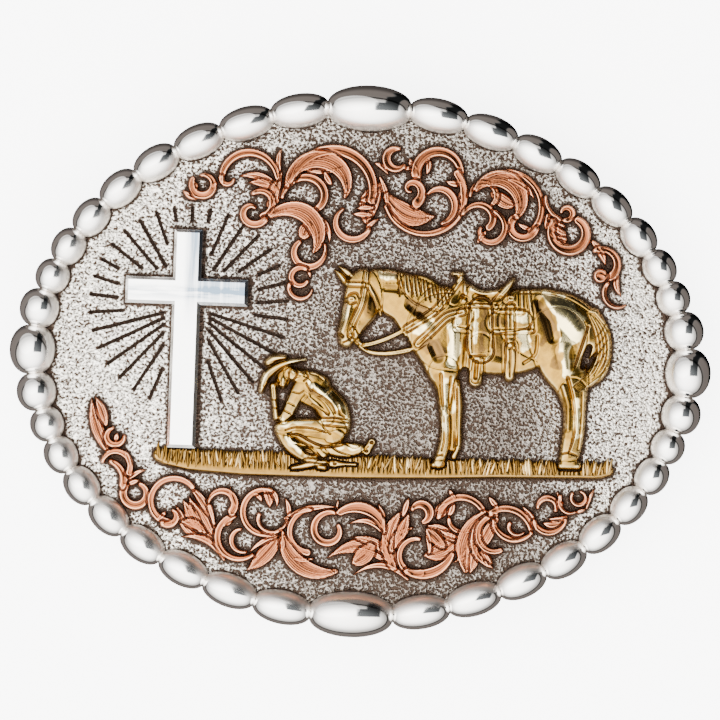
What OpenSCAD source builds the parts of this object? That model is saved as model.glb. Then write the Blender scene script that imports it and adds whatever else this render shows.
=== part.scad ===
// Oval western trophy buckle, lying face up on its belt loop and prong.
// Millimetres. +X is the wearer's left to right as seen from the front, +Y is up, +Z is out of the face.
// The origin is under the middle of the oval, on the surface that the buckle lies on.

/* [Plate] */
// Length of the plate
plate_l = 95.7; // [90:0.1:98]
// Height of the plate
plate_w = 74.6; // [70:0.1:77]
// Thickness of the plate
plate_t = 2.2; // [1.6:0.1:3]
// Radius of the dome on the plate's face
dome_r = 240; // [200:5:320]
// Height of the middle of the face above the surface that the buckle lies on
face_z = 12.9; // [12:0.1:15]

/* [Bead rim] */
// Length of the oval that the beads are strung on
rim_l = 94.2; // [90:0.1:96]
// Height of the oval that the beads are strung on
rim_w = 73.1; // [70:0.1:75]
// Radius of the collar between two beads
collar_r = 1.05; // [0.9:0.05:1.3]
// Radius at which a bead's point is cut off, inside the collar
point_r = 0.8; // [0.6:0.05:0.85]
// How far a bead's axis lies above the face
bead_lift = 0.3; // [0.1:0.1:0.6]

/* [Rays] */
// Radius of the fan of engraved rays
ray_r = 14.5; // [12:0.5:15]
// Width of one ray
ray_w = 0.36; // [0.3:0.02:0.5]
// Depth of one ray
ray_depth = 0.45; // [0.3:0.05:0.8]
// Clear ground left round the cross
ray_clear = 1.15; // [0.8:0.05:1.6]

/* [Cross] */
// Width of the upright
cross_w = 4.1; // [3.5:0.1:5]
// Height of the upright
cross_h = 31.5; // [28:0.5:33]
// Length of the arms, tip to tip
cross_arm = 17.8; // [16:0.1:19]
// Width of the arms
cross_arm_w = 3.85; // [3.4:0.05:4.4]
// How far the cross stands off the face
cross_rise = 1.7; // [1.2:0.1:2.2]
// Bevel along its edges
cross_bevel = 0.45; // [0.3:0.05:0.6]

/* [Cast overlays] */
// Gap under each overlay
seat_gap = 0.06; // [0.05:0.01:0.1]
// How far the scrolls stand off the face
scroll_rise = 1.0; // [0.7:0.1:1.4]
// How far the grass stands off the face
ground_rise = 1.2; // [0.9:0.1:1.5]
// How far the edge of a figure stands off the face
figure_edge = 1.0; // [0.8:0.1:1.3]
// How far the middle of a figure stands off the face
figure_rise = 2.1; // [1.7:0.1:2.6]

/* [Back] */
// Diameter of the belt loop's wire
wire_d = 3.2; // [2.6:0.1:3.6]
// Clear width of the belt loop
loop_clear = 42; // [38:1:46]
// Radius of the bends in the belt loop, at the middle of the wire
loop_bend = 3; // [2.5:0.5:5]
// Distance of the belt loop from the middle
loop_x = 24; // [20:1:28]
// Diameter of the prong
prong_d = 3.8; // [3:0.1:4.4]
// Distance from the middle at which the prong's axis meets the level of the face's middle
prong_x = 30.5; // [28:0.5:34]
// Lean of the prong away from square
prong_lean = 30; // [20:5:40]
// Length of the prong below its foot
prong_bare = 4.9; // [4.5:0.1:5.5]
// Diameter of the prong's soldered foot
prong_foot_d = 6; // [5:0.2:6.4]

/* [Hidden] */

SILVER = [0.70, 0.68, 0.66];
BRIGHT = [0.90, 0.90, 0.91];
COPPER = [0.80, 0.50, 0.36];
GOLD = [0.82, 0.64, 0.30];

dome_z = face_z - dome_r;       // centre of the dome
oval_power = 1.96;              // 2 would make the ovals true ellipses
outline_steps = 96;
side_gap = seat_gap + 0.02;     // gap under the accent beads at the sides
notch_gap = 0.1;                // gap between the grass and what stands in it
above = 5;                      // how far a cutter is drawn past what it cuts
cap_step = 45;                  // degrees between two points of a rounded end
curl_step = 20;                 // degrees between two sections of a curl
leaf_steps = 5;                 // stretches of a leaf
form_steps = 3;                 // stretches between two rows of a form
cleft = 0.08;                   // half the widest cleft that is filled
scroll_margin = 0.03;           // growth of the scrolls past their bands
figure_step = 0.5;              // width of the lower edge round a figure
ridge_least = 0.3;              // least width of a figure's raised middle
cross_mid = [-25.25, 2.35];     // middle of the upright
arm_y = 9.2;                    // height of the arms' middle
ray_mid = [-25, 7];
ray_count = 34;
ray_step = 360 / ray_count;
ray_foot = 270;                 // the rays within one step of this angle are left out

// One row a bead, from the end of the oval to its top; an accent bead sits at either end of the row.
// [length, width, how far its ends are set outside the oval]
BEADS = [
    [5.3, 5.8, 0.4], [4.65, 5.0, 0.15], [5.1, 4.9, 0.2], [5.6, 4.9, 0.15], [6.2, 4.9, 0.2],
    [6.6, 4.9, 0.2], [7.1, 4.9, 0.1], [7.7, 4.9, 0.2], [8.2, 5.0, 0.4]
];
side_accent = [6.8, 6.7, 0.6];
top_accent = [11.8, 6.7, 0.35];

// One row a curl: it winds about its eye from a first angle and radius to a last one.
// [eye x, eye y, first angle, first radius, last angle, last radius, width at start, in the middle, at end]
UPPER_CURLS = [
    [-23.6, 24.7, 105, 1.35, -205, 1.7, 0.7, 1.4, 1.0],
    [-17.2, 25.55, 184, 3.7, 8, 4.3, 1.1, 1.4, 1.0],
    [-20.1, 25.8, 180, 0.95, 345, 0.9, 1.1, 1.0, 0.7],
    [-15.3, 22.3, 125, 1.7, -75, 1.9, 1.0, 1.2, 1.3],
    [-16.4, 21.0, -30, 2.2, -300, 0.75, 1.3, 1.3, 0.8],
    [-8.3, 23.3, 180, 3.8, -60, 1.9, 0.9, 1.5, 1.2],
    [-4.6, 24.4, 168, 6.3, -12, 5.5, 1.2, 1.9, 1.4],
    [-6.5, 24.6, 172, 5.0, -15, 3.6, 1.2, 3.0, 0.7],
    [-1.9, 20.1, -25, 2.7, -232, 2.25, 1.0, 1.3, 0.7],
    [4.2, 29.4, 78, 1.5, 318, 1.45, 0.8, 1.6, 0.8],
    [10.3, 27.5, 185, 3.2, 0, 3.2, 1.8, 1.7, 1.2],
    [6.4, 25.1, -65, 2.2, 270, 0.35, 1.8, 1.1, 0.6],
    [8.8, 24.6, 200, 6.3, 395, 5.2, 0.9, 1.2, 1.4],
    [10.3, 23.2, -75, 3.0, 135, 1.9, 0.8, 1.4, 0.7],
    [20.4, 22.8, 150, 5.6, -45, 4.8, 0.9, 1.1, 1.2],
    [22.5, 20.6, -15, 2.3, -230, 1.3, 1.2, 1.5, 1.4],
    [17.1, 24.5, 180, 2.1, -45, 1.6, 0.8, 1.1, 0.9],
    [19.0, 23.6, 150, 3.6, -30, 3.4, 1.0, 3.0, 1.2],
    [16.7, 21.0, 162, 2.7, -40, 1.5, 0.8, 1.3, 1.3],
    [17.9, 19.6, 75, 2.8, -190, 1.25, 0.9, 1.2, 0.8],
    [29.3, 24.9, 183, 3.4, 262, 3.5, 0.7, 0.8, 0.9],
    [29.0, 22.5, -95, 1.05, 170, 0.7, 1.0, 1.1, 0.7],
    [29.7, 19.7, 150, 3.0, 420, 2.1, 1.2, 1.8, 1.4],
    [34.6, 15.0, 118, 2.6, -105, 1.6, 1.0, 1.4, 1.5],
    [34.3, 13.6, 0, 0.4, 300, 0.35, 1.5, 1.6, 1.5],
    [37.0, 11.1, 140, 2.2, 300, 1.9, 0.9, 0.9, 0.5],
    [-10.4, 17.3, 134, 4.6, -28, 3.6, 1.2, 3.0, 0.8],
    [-8.2, 15.6, 22, 2.7, -225, 1.75, 0.7, 1.3, 1.0],
    [-9.1, 11.8, 60, 1.4, 330, 1.15, 0.9, 1.1, 0.8],
    [-8.9, 10.4, 170, 1.75, 350, 1.6, 0.9, 0.9, 0.5]
];

// One row a leaf: it runs from its root to its point and bows to the left of that line.
// [root x, root y, point x, point y, bow as a share of its length, width]
UPPER_LEAVES = [
    [-24.3, 22.7, -26.5, 23.8, 0.10, 1.1],
    [-24.6, 23.4, -25.4, 25.6, -0.10, 0.9],
    [-22.6, 24.2, -21.2, 25.3, 0.0, 0.7],
    [-12.6, 24.0, -18.5, 26.1, -0.16, 1.6],
    [-12.8, 24.2, -17.2, 25.2, -0.10, 1.5],
    [-12.6, 26.6, -12.4, 30.4, 0.10, 1.1],
    [-13.8, 20.4, -12.2, 27.2, 0.03, 1.9],
    [-9.6, 27.6, -2.9, 28.3, -0.12, 0.9],
    [-6.0, 26.9, -4.9, 25.3, -0.1, 1.2],
    [1.9, 25.4, 0.3, 19.4, -0.12, 3.0],
    [1.2, 23.4, -0.9, 23.2, 0.0, 0.9],
    [1.0, 22.3, -1.4, 22.0, 0.0, 1.0],
    [0.8, 21.2, -2.0, 21.2, 0.0, 1.0],
    [0.0, 18.6, 2.1, 20.7, 0.1, 0.9],
    [1.2, 28.6, 3.1, 27.0, 0.12, 0.9],
    [1.9, 26.6, 2.9, 21.0, 0.10, 1.0],
    [6.2, 29.2, 7.9, 25.2, 0.0, 1.6],
    [8.6, 29.9, 8.5, 27.2, 0.12, 1.1],
    [3.1, 23.8, 10.3, 21.4, -0.18, 3.3],
    [14.0, 26.4, 11.3, 26.5, 0.12, 1.2],
    [13.4, 21.4, 13.3, 27.4, -0.12, 1.6],
    [5.0, 28.2, 6.6, 28.0, 0.0, 0.8],
    [20.5, 27.0, 24.3, 24.3, 0.12, 1.3],
    [18.4, 25.0, 21.8, 23.3, -0.1, 2.2],
    [24.2, 20.0, 21.9, 20.9, 0.1, 0.9],
    [16.4, 17.9, 17.5, 19.6, 0.0, 1.1],
    [26.4, 21.9, 29.3, 17.8, -0.05, 2.7],
    [26.6, 21.6, 29.1, 20.4, 0.0, 1.0],
    [26.8, 20.6, 29.3, 19.2, 0.0, 1.1],
    [27.3, 18.6, 30.5, 17.9, -0.12, 1.0],
    [32.9, 18.5, 34.9, 15.0, 0.1, 1.3],
    [36.8, 14.1, 37.4, 10.8, -0.16, 1.1],
    [-6.8, 20.8, -5.1, 16.8, 0.14, 1.0],
    [-8.2, 19.6, -9.0, 17.3, 0.0, 2.2],
    [-8.9, 13.4, -7.7, 11.6, 0.2, 0.8]
];

LOWER_CURLS = [
    [-35.0, -12.1, 110, 1.2, 360, 1.3, 0.8, 1.2, 0.8],
    [-31.7, -20.3, 150, 1.9, 425, 1.5, 1.4, 1.5, 0.9],
    [-36.2, -18.6, 75, 2.9, -12, 2.6, 1.0, 1.3, 1.3],
    [-34.9, -16.3, 165, 1.85, -25, 2.3, 0.8, 1.1, 1.2],
    [-26.3, -21.3, 40, 3.6, 262, 3.0, 1.1, 1.1, 1.4],
    [-26.7, -23.2, 235, 1.6, 410, 0.8, 1.2, 1.2, 0.8],
    [-16.5, -26.0, 108, 3.2, 308, 3.2, 1.2, 1.2, 0.8],
    [-16.0, -26.3, 105, 1.5, 285, 1.9, 0.7, 1.0, 0.6],
    [-19.1, -21.3, 168, 2.0, -35, 1.7, 0.8, 1.3, 1.5],
    [-12.9, -22.1, 78, 3.1, 342, 3.5, 0.9, 1.2, 0.7],
    [-12.3, -22.9, 170, 1.5, 348, 2.8, 0.9, 0.8, 0.5],
    [-6.2, -25.0, 95, 3.3, 262, 2.9, 0.9, 1.1, 1.3],
    [-3.6, -24.5, 68, 2.7, 385, 1.5, 0.9, 1.4, 0.9],
    [-4.5, -24.6, 184, 5.8, 290, 6.2, 0.7, 2.8, 0.9],
    [0.6, -25.2, 12, 3.9, 128, 4.3, 0.7, 2.0, 1.3],
    [9.2, -27.7, 85, 2.4, 285, 2.65, 0.9, 1.1, 1.5],
    [9.6, -25.5, 250, 4.9, 338, 5.1, 1.3, 1.8, 0.9],
    [9.5, -21.6, 155, 1.3, -65, 1.3, 0.9, 1.7, 1.0],
    [15.2, -22.4, 172, 3.0, 25, 3.6, 1.0, 1.3, 1.2],
    [15.2, -21.9, 195, 1.6, 350, 2.8, 0.9, 1.0, 0.8],
    [22.4, -26.8, 112, 6.3, 205, 6.7, 1.0, 2.6, 1.0],
    [21.3, -25.3, 100, 4.1, 252, 3.9, 0.8, 1.3, 0.6],
    [20.5, -24.5, 105, 2.9, 290, 2.2, 0.9, 1.1, 1.0],
    [21.8, -24.2, 125, 3.7, 8, 3.8, 1.1, 1.3, 0.9],
    [27.9, -21.4, 205, 2.1, 352, 2.7, 1.0, 1.1, 0.6],
    [23.2, -21.7, 190, 3.2, 318, 3.3, 0.8, 1.2, 0.7],
    [23.4, -22.9, 165, 1.0, 320, 1.5, 0.9, 0.8, 0.5],
    [27.9, -20.1, 182, 1.5, -20, 1.2, 0.8, 1.2, 0.8],
    [31.3, -19.4, 150, 1.9, 292, 1.35, 0.8, 0.8, 0.5],
    [32.35, -18.55, 150, 1.15, 435, 0.85, 0.7, 0.9, 0.6]
];

LOWER_LEAVES = [
    [-36.0, -14.2, -38.6, -6.6, 0.06, 2.0],
    [-36.4, -10.4, -38.1, -6.5, -0.04, 1.6],
    [-34.9, -12.9, -34.7, -11.6, 0.0, 1.0],
    [-33.2, -18.8, -30.3, -16.8, 0.12, 1.0],
    [-33.0, -19.2, -30.9, -18.4, 0.1, 0.9],
    [-33.4, -14.2, -32.5, -16.9, 0.02, 1.1],
    [-20.2, -25.6, -24.6, -18.4, -0.10, 1.7],
    [-20.2, -27.2, -24.0, -20.3, 0.04, 2.7],
    [-20.4, -26.8, -25.9, -21.7, 0.10, 2.4],
    [-22.2, -25.2, -24.9, -20.8, 0.0, 1.8],
    [-21.6, -25.4, -25.1, -24.0, -0.1, 1.6],
    [-28.4, -24.0, -27.2, -22.7, 0.0, 1.0],
    [-18.6, -29.3, -25.0, -26.3, -0.18, 1.2],
    [-17.1, -21.6, -18.0, -18.7, 0.12, 0.9],
    [-20.2, -24.2, -21.4, -20.2, 0.0, 0.9],
    [-18.9, -24.4, -17.2, -22.7, 0.0, 1.3],
    [-13.3, -18.9, -12.4, -21.7, 0.16, 1.5],
    [-12.6, -18.7, -11.3, -21.6, 0.18, 0.9],
    [-14.8, -19.6, -13.4, -20.9, 0.16, 0.9],
    [-10.8, -25.6, -15.4, -30.9, 0.05, 2.5],
    [-10.9, -25.5, -15.1, -28.3, -0.08, 0.9],
    [-9.6, -23.1, -10.2, -20.0, -0.12, 1.0],
    [-10.0, -23.1, -2.2, -21.2, 0.09, 1.1],
    [-10.3, -25.6, -10.6, -28.5, 0.1, 0.9],
    [-8.5, -28.8, -5.5, -28.6, -0.1, 0.9],
    [-2.6, -21.5, -2.4, -19.9, 0.0, 0.5],
    [4.5, -25.0, -0.8, -23.5, -0.22, 1.1],
    [4.3, -24.0, 3.3, -20.3, -0.06, 1.0],
    [6.4, -29.6, -3.8, -28.6, -0.24, 2.6],
    [6.0, -28.8, -0.4, -25.4, -0.14, 1.6],
    [2.6, -26.6, -0.3, -29.2, 0.1, 2.6],
    [5.6, -28.6, 3.9, -24.8, -0.05, 1.3],
    [8.0, -31.2, 0.1, -30.9, -0.22, 1.1],
    [5.9, -29.4, 6.9, -21.1, 0.14, 2.7],
    [5.6, -27.0, 8.7, -23.6, 0.14, 1.7],
    [6.3, -26.5, 7.9, -21.4, 0.0, 1.8],
    [7.0, -22.0, 7.8, -19.3, 0.0, 1.1],
    [15.0, -25.0, 10.0, -27.7, 0.10, 3.0],
    [14.6, -25.2, 10.2, -23.4, -0.10, 1.7],
    [11.0, -27.2, 10.2, -23.5, -0.06, 1.0],
    [13.0, -26.2, 10.3, -23.6, 0.0, 1.8],
    [15.6, -24.8, 12.1, -23.8, 0.06, 0.8],
    [13.6, -20.0, 11.9, -22.6, -0.1, 2.0],
    [14.2, -19.8, 13.3, -22.1, 0.1, 1.1],
    [14.6, -19.4, 13.5, -17.9, 0.06, 0.9],
    [20.3, -20.6, 14.4, -28.6, 0.12, 2.6],
    [17.4, -25.4, 16.9, -30.2, 0.05, 2.0],
    [18.6, -26.8, 20.0, -29.3, 0.0, 1.7],
    [20.7, -20.5, 19.2, -18.8, 0.0, 1.1],
    [26.3, -23.3, 24.1, -20.0, -0.06, 1.2],
    [30.6, -21.4, 27.9, -21.7, 0.12, 1.2],
    [29.8, -22.3, 27.1, -22.3, 0.12, 1.2],
    [29.2, -18.0, 30.2, -20.2, 0.0, 0.8],
    [31.7, -20.7, 33.7, -19.9, -0.05, 0.6],
    [33.5, -20.0, 34.6, -17.1, 0.06, 0.7]
];

// A form is cast round a bent axis, one row a section, with a smooth skin between them.
// [x, y, width]
HORSE = [
    // head and poll
    [[0.1, 12.2, 2.8], [0.0, 10.6, 5.2], [0.0, 8.4, 5.6],
     [-1.0, 6.0, 4.4], [-1.7, 4.3, 3.6], [-2.1, 3.0, 2.5]],
    // neck and crest
    [[1.8, 11.2, 4.6], [4.0, 10.2, 6.6], [7.0, 8.9, 7.6], [10.0, 6.4, 9.4], [12.0, 3.6, 8.4]],
    // ears
    [[-1.2, 12.0, 1.1], [-2.4, 12.8, 1.1], [-3.6, 13.6, 0.4]],
    [[-2.2, 11.0, 1.2], [-3.2, 12.2, 1.1], [-4.1, 13.0, 0.4]],
    // chest and shoulder
    [[11.5, 8.0, 7.0], [11.2, 4.0, 8.0], [11.6, 1.6, 6.6], [12.0, -0.8, 5.0]],
    // barrel
    [[12.0, 4.8, 11.0], [17.0, 4.6, 11.6], [22.0, 5.1, 12.4], [26.5, 6.4, 10.4]],
    // haunch
    [[24.5, 6.6, 9.4], [28.4, 5.8, 10.8], [31.4, 5.2, 8.0]],
    [[28.4, 4.6, 8.6], [29.0, 1.2, 7.2], [30.4, -1.6, 5.6], [31.0, -4.0, 4.2]],
    // hind legs
    [[30.8, -3.4, 4.2], [31.2, -6.0, 3.5], [31.2, -9.0, 3.4], [30.9, -11.4, 3.3], [30.6, -13.2, 3.0]],
    [[29.5, -14.0, 1.3], [31.9, -13.9, 1.5]],
    // tail
    [[33.4, 7.8, 2.6], [34.8, 5.2, 2.6], [35.1, 2.4, 2.5],
     [34.4, -0.1, 2.8], [32.8, -1.6, 2.4], [31.6, -2.4, 2.2]],
    // front legs
    [[12.1, -1.0, 4.6], [12.3, -3.4, 2.9], [12.5, -6.6, 2.0],
     [12.7, -9.6, 1.8], [12.5, -12.0, 2.0], [11.8, -14.2, 2.0]],
    [[14.0, -2.4, 1.2], [14.4, -5.6, 1.5], [14.4, -8.8, 1.4], [14.6, -11.4, 1.2], [14.0, -13.2, 1.2]],
    [[13.3, -1.6, 1.8], [13.6, -5.8, 1.1], [13.5, -9.0, 1.2], [13.6, -12.0, 1.2]],
    [[11.1, -14.5, 1.2], [12.3, -14.4, 1.3]],
    // saddle: cantle, seat, horn and skirts
    [[14.6, 11.2, 2.2], [17.0, 9.8, 2.6], [19.6, 10.2, 2.2], [21.7, 12.5, 0.9]],
    [[13.2, 9.4, 1.8], [14.1, 11.4, 1.9], [13.9, 12.9, 1.4]],
    [[13.0, 13.1, 1.0], [14.2, 13.1, 1.1]],
    // stirrup
    [[17.2, 3.0, 3.4], [16.8, 1.0, 2.0], [16.7, -2.2, 2.2]],
    // cinch
    [[21.6, 3.0, 2.4], [21.6, -1.2, 2.0]],
    // reins
    [[-1.4, 3.6, 0.9], [0.2, 2.4, 0.9], [3.2, 3.2, 0.9], [6.6, 5.0, 0.9], [10.4, 7.6, 1.0]],
    [[-0.2, 2.2, 0.7], [1.4, 1.4, 0.8], [4.0, 1.3, 0.9], [7.2, 2.0, 1.0], [9.6, 3.6, 1.0]]
];

COWBOY = [
    // hat brim
    [[-14.1, -4.7, 1.1], [-13.4, -2.6, 1.6], [-11.9, -1.3, 1.5], [-10.1, -0.5, 1.2], [-7.9, 0.0, 0.7]],
    // hat crown
    [[-13.2, -0.6, 1.5], [-12.2, 0.0, 1.5], [-10.9, 0.1, 1.2]],
    // head
    [[-10.4, -1.8, 2.2], [-11.1, -3.0, 2.4], [-11.0, -3.8, 1.4]],
    // collar and shoulder
    [[-9.8, -2.2, 2.2], [-7.6, -2.8, 2.8], [-5.6, -3.6, 3.2]],
    // forearms held up to the brow
    [[-12.4, -4.0, 1.4], [-12.1, -6.4, 1.2], [-11.8, -8.5, 1.3]],
    // upper arm
    [[-8.2, -3.9, 3.0], [-9.2, -5.6, 2.5], [-10.1, -7.6, 2.2], [-10.8, -8.5, 1.8]],
    // back and waist
    [[-6.8, -3.6, 4.2], [-5.2, -5.4, 4.4], [-3.6, -7.4, 4.8], [-3.2, -9.6, 4.4], [-3.8, -10.9, 3.0]],
    // shirt front
    [[-8.6, -5.2, 2.2], [-7.5, -5.8, 1.9], [-6.2, -6.3, 2.2], [-5.2, -7.3, 2.4], [-4.6, -8.2, 2.4]],
    // calf folded under the thigh
    [[-9.0, -11.3, 1.8], [-6.6, -11.5, 2.2], [-4.2, -11.4, 2.4], [-2.8, -11.0, 2.2]],
    // thigh
    [[-3.4, -10.1, 3.8], [-6.0, -10.0, 3.4], [-9.2, -9.8, 2.7], [-11.2, -9.9, 1.9]],
    // shin and the trouser's other hem
    [[-11.0, -10.2, 2.4], [-9.6, -11.9, 3.1], [-7.8, -13.3, 2.9], [-6.3, -14.3, 2.1]],
    [[-7.0, -12.2, 1.6], [-5.8, -12.8, 1.8], [-4.8, -13.6, 1.5]],
    // front boot and its heel
    [[-9.2, -15.7, 0.9], [-7.8, -15.4, 1.2], [-6.4, -15.0, 1.4], [-4.4, -14.7, 1.0]],
    [[-5.4, -15.4, 1.1], [-4.6, -15.5, 1.1]],
    // back boot
    [[-4.6, -12.8, 1.6], [-2.7, -12.9, 2.2], [-1.0, -12.8, 2.3], [0.5, -12.6, 1.7]],
    // spurs
    [[1.4, -12.9, 1.4], [2.1, -11.6, 1.3]],
    [[-3.6, -14.9, 1.2], [-2.8, -14.9, 1.1], [-1.4, -14.9, 0.6], [-0.1, -14.9, 0.6]]
];

// Lower edge of the strip of grass.
// [x, y]
GROUND_FOOT = [
    [-29.3, -14.8], [-28.2, -16.0], [-24.0, -16.8], [-16.0, -17.2], [0.0, -17.1],
    [12.0, -16.7], [20.0, -16.3], [35.0, -15.9], [36.6, -15.4]
];
blade_pitch = 1.5;
blade_tall = 0.55;
blade_turn = 140;               // degrees of the wave that sets the blades' heights, from one to the next
ground_top = -13.5;
ground_ends = [-29.0, 36.8];

// Height of the face over a place on the plan
function face_at(x, y) = dome_z + sqrt(dome_r * dome_r - x * x - y * y);

// Place on an oval at an angle
function oval_point(l, w, angle) = [l / 2 * squared(cos(angle)), w / 2 * squared(sin(angle))];
function squared(v) = sign(v) * pow(abs(v), 2 / oval_power);

// Unit vector square to a direction, to its left
function left_of(d) = let (n = norm(d)) [-d[1] / n, d[0] / n];

// Width that grows from one end to the middle and on to the other end
function width_at(first, middle, last, t) =
    first + (last - first) * t + (middle - (first + last) / 2) * sin(180 * t);

// Half circle about a place, turning right from one side of it
function cap(place, side, width) =
    [for (angle = [cap_step:cap_step:180 - cap_step])
        place + width / 2 * (side * cos(angle) + [side[1], -side[0]] * sin(angle))];

// Outline of a band: along its left side, round its end, back along its right side and round its start
function band_outline(axis, widths) =
    let (last = len(axis) - 1,
         sides = [for (i = [0:last]) left_of(axis[min(i + 1, last)] - axis[max(i - 1, 0)])])
    concat([for (i = [0:last]) axis[i] + sides[i] * widths[i] / 2],
           cap(axis[last], sides[last], widths[last]),
           [for (i = [last:-1:0]) axis[i] - sides[i] * widths[i] / 2],
           cap(axis[0], -sides[0], widths[0]));

function curl_point(c, t) =
    let (angle = c[2] + (c[4] - c[2]) * t, radius = c[3] * pow(c[5] / c[3], t))
    [c[0] + radius * cos(angle), c[1] + radius * sin(angle)];

function leaf_point(l, t) =
    let (root = [l[0], l[1]], run = [l[2], l[3]] - root)
    root + run * t + left_of(run) * norm(run) * l[4] * 4 * t * (1 - t);

function leaf_width(l, t) = l[5] * (0.45 * (1 - t) + 0.75 * sin(180 * t)) + 0.12;

// Smooth value between the second and third of four rows
function between(p, t) =
    0.5 * ((2 * p[1]) + (p[2] - p[0]) * t + (2 * p[0] - 5 * p[1] + 4 * p[2] - p[3]) * t * t
           + (3 * p[1] - p[0] - 3 * p[2] + p[3]) * t * t * t);

function smooth_rows(rows, steps) =
    let (last = len(rows) - 1)
    concat([for (i = [0:last - 1], k = [0:steps - 1])
                between([for (j = [i - 1:i + 2]) rows[max(0, min(last, j))]], k / steps)],
           [rows[last]]);

module curl(c) {
    steps = ceil(abs(c[4] - c[2]) / curl_step);
    polygon(band_outline([for (i = [0:steps]) curl_point(c, i / steps)],
                         [for (i = [0:steps]) width_at(c[6], c[7], c[8], i / steps)]));
}

module leaf(l) {
    polygon(band_outline([for (i = [0:leaf_steps]) leaf_point(l, i / leaf_steps)],
                         [for (i = [0:leaf_steps]) leaf_width(l, i / leaf_steps)]));
}

// A form with its edge drawn in, left out where nothing wide enough remains
module form(rows, inset = 0) {
    sections = smooth_rows(rows, form_steps);
    widths = [for (s = sections) s[2] - 2 * inset];
    if (min(widths) > ridge_least) polygon(band_outline([for (s = sections) [s[0], s[1]]], widths));
}

// Fill the narrowest clefts of a flat shape, then grow it
module close_up(growth) {
    offset(delta = growth - cleft) offset(delta = cleft) children();
}

// The ball that the face is part of, grown by a rise
module dome(rise) {
    translate([0, 0, dome_z]) sphere(r = dome_r + rise, $fn = 200);
}

// A flat shape cast on the face, from the seat gap up to a rise
module cast(rise) {
    difference() {
        intersection() {
            linear_extrude(height = face_z + above) children();
            dome(rise);
        }
        dome(seat_gap);
    }
}

module scroll(curls, leaves) {
    cast(scroll_rise) close_up(scroll_margin) {
        for (c = curls) curl(c);
        for (l = leaves) leaf(l);
    }
}

// A figure is stepped: a full edge, then a smaller and taller middle
module figure(forms) {
    cast(figure_edge) close_up(0) for (f = forms) form(f);
    cast(figure_rise) close_up(0) for (f = forms) form(f, figure_step);
}

module oval(l, w) {
    polygon([for (i = [0:outline_steps - 1]) oval_point(l, w, 360 * i / outline_steps)]);
}

module cross_plan(grow) {
    translate(cross_mid) square([cross_w + 2 * grow, cross_h + 2 * grow], center = true);
    translate([cross_mid[0], arm_y])
        square([cross_arm + 2 * grow, cross_arm_w + 2 * grow], center = true);
}

module ray_plan() {
    difference() {
        for (angle = [ray_foot + 2 * ray_step:ray_step:ray_foot + 360 - 1.9 * ray_step])
            translate(ray_mid) rotate(angle)
                translate([0, -ray_w / 2]) square([ray_r, ray_w]);
        cross_plan(ray_clear);
    }
}

module plate() {
    color(SILVER) difference() {
        intersection() {
            linear_extrude(height = face_z + above) oval(plate_l, plate_w);
            dome(0);
        }
        dome(-plate_t);
        difference() {
            linear_extrude(height = face_z + above) ray_plan();
            dome(-ray_depth);
        }
    }
}

// Profile of a bead: an arc from point to point
module bead_profile(long, half) {
    middle = (half * half - point_r * point_r - long * long / 4) / (2 * (half - point_r));
    intersection() {
        translate([middle, long / 2]) circle(r = half - middle, $fn = 96);
        square([half + 1, long]);
    }
}

// A bead between two joints of the rim
module bead(from, to, width) {
    run = to - from;
    translate(from)
        rotate([0, acos(run[2] / norm(run)), atan2(run[1], run[0])])
            rotate_extrude($fn = 48) bead_profile(norm(run), width / 2);
}

// Length along a quarter of the rim, against the angle
rim_steps = 90;
rim_run = [for (i = 0, run = 0; i <= rim_steps;
                run = run + norm(oval_point(rim_l, rim_w, i + 1) - oval_point(rim_l, rim_w, i)),
                i = i + 1) [run, i]];
bead_lengths = [for (b = BEADS) b[0]];
function sum(list, count, i = 0) = i >= count ? 0 : list[i] + sum(list, count, i + 1);
rim_total = side_accent[0] / 2 + sum(bead_lengths, len(BEADS)) + top_accent[0] / 2;
rim_scale = rim_run[rim_steps][0] / rim_total;

// Joint before bead i of a quarter, set outside the oval
function joint(i, out = 0) =
    let (angle = lookup(rim_scale * (side_accent[0] / 2 + sum(bead_lengths, i)), rim_run),
         p = oval_point(rim_l + 2 * out, rim_w + 2 * out, angle))
    [p[0], p[1], face_at(p[0], p[1]) + bead_lift];

function flip_x(p) = [-p[0], p[1], p[2]];
function flip_y(p) = [p[0], -p[1], p[2]];

module bead_quarter() {
    row = concat([side_accent], BEADS, [top_accent]);
    for (i = [0:len(BEADS) - 1])
        bead(joint(i, BEADS[i][2]), joint(i + 1, BEADS[i][2]), BEADS[i][1]);
    for (i = [0:len(BEADS)])
        translate(joint(i, (row[i][2] + row[i + 1][2]) / 2)) sphere(r = collar_r, $fn = 32);
}

module bead_rim() {
    side = joint(0, side_accent[2]);
    top = joint(len(BEADS), top_accent[2]);
    color(BRIGHT) union() {
        difference() {
            union() {
                for (x = [0, 1], y = [0, 1]) mirror([x, 0, 0]) mirror([0, y, 0]) bead_quarter();
                for (y = [0, 1]) mirror([0, y, 0]) bead(top, flip_x(top), top_accent[1]);
            }
            dome(seat_gap);
        }
        for (x = [0, 1]) mirror([x, 0, 0]) difference() {
            bead(flip_y(side), side, side_accent[1]);
            dome(side_gap);
        }
    }
}

// A bar with bevelled edges and ends, that stands on zero height and runs on below it
module bevelled_bar(l, w, h) {
    intersection() {
        translate([l / 2, 0, 0]) rotate([90, 0, -90]) linear_extrude(height = l) bevel_profile(w, h);
        translate([0, w / 2, 0]) rotate([90, 0, 0]) linear_extrude(height = w) bevel_profile(l, h);
    }
}

module bevel_profile(w, h) {
    polygon([[-w / 2, -above], [w / 2, -above], [w / 2, h - cross_bevel], [w / 2 - cross_bevel, h],
             [cross_bevel - w / 2, h], [-w / 2, h - cross_bevel]]);
}

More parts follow.
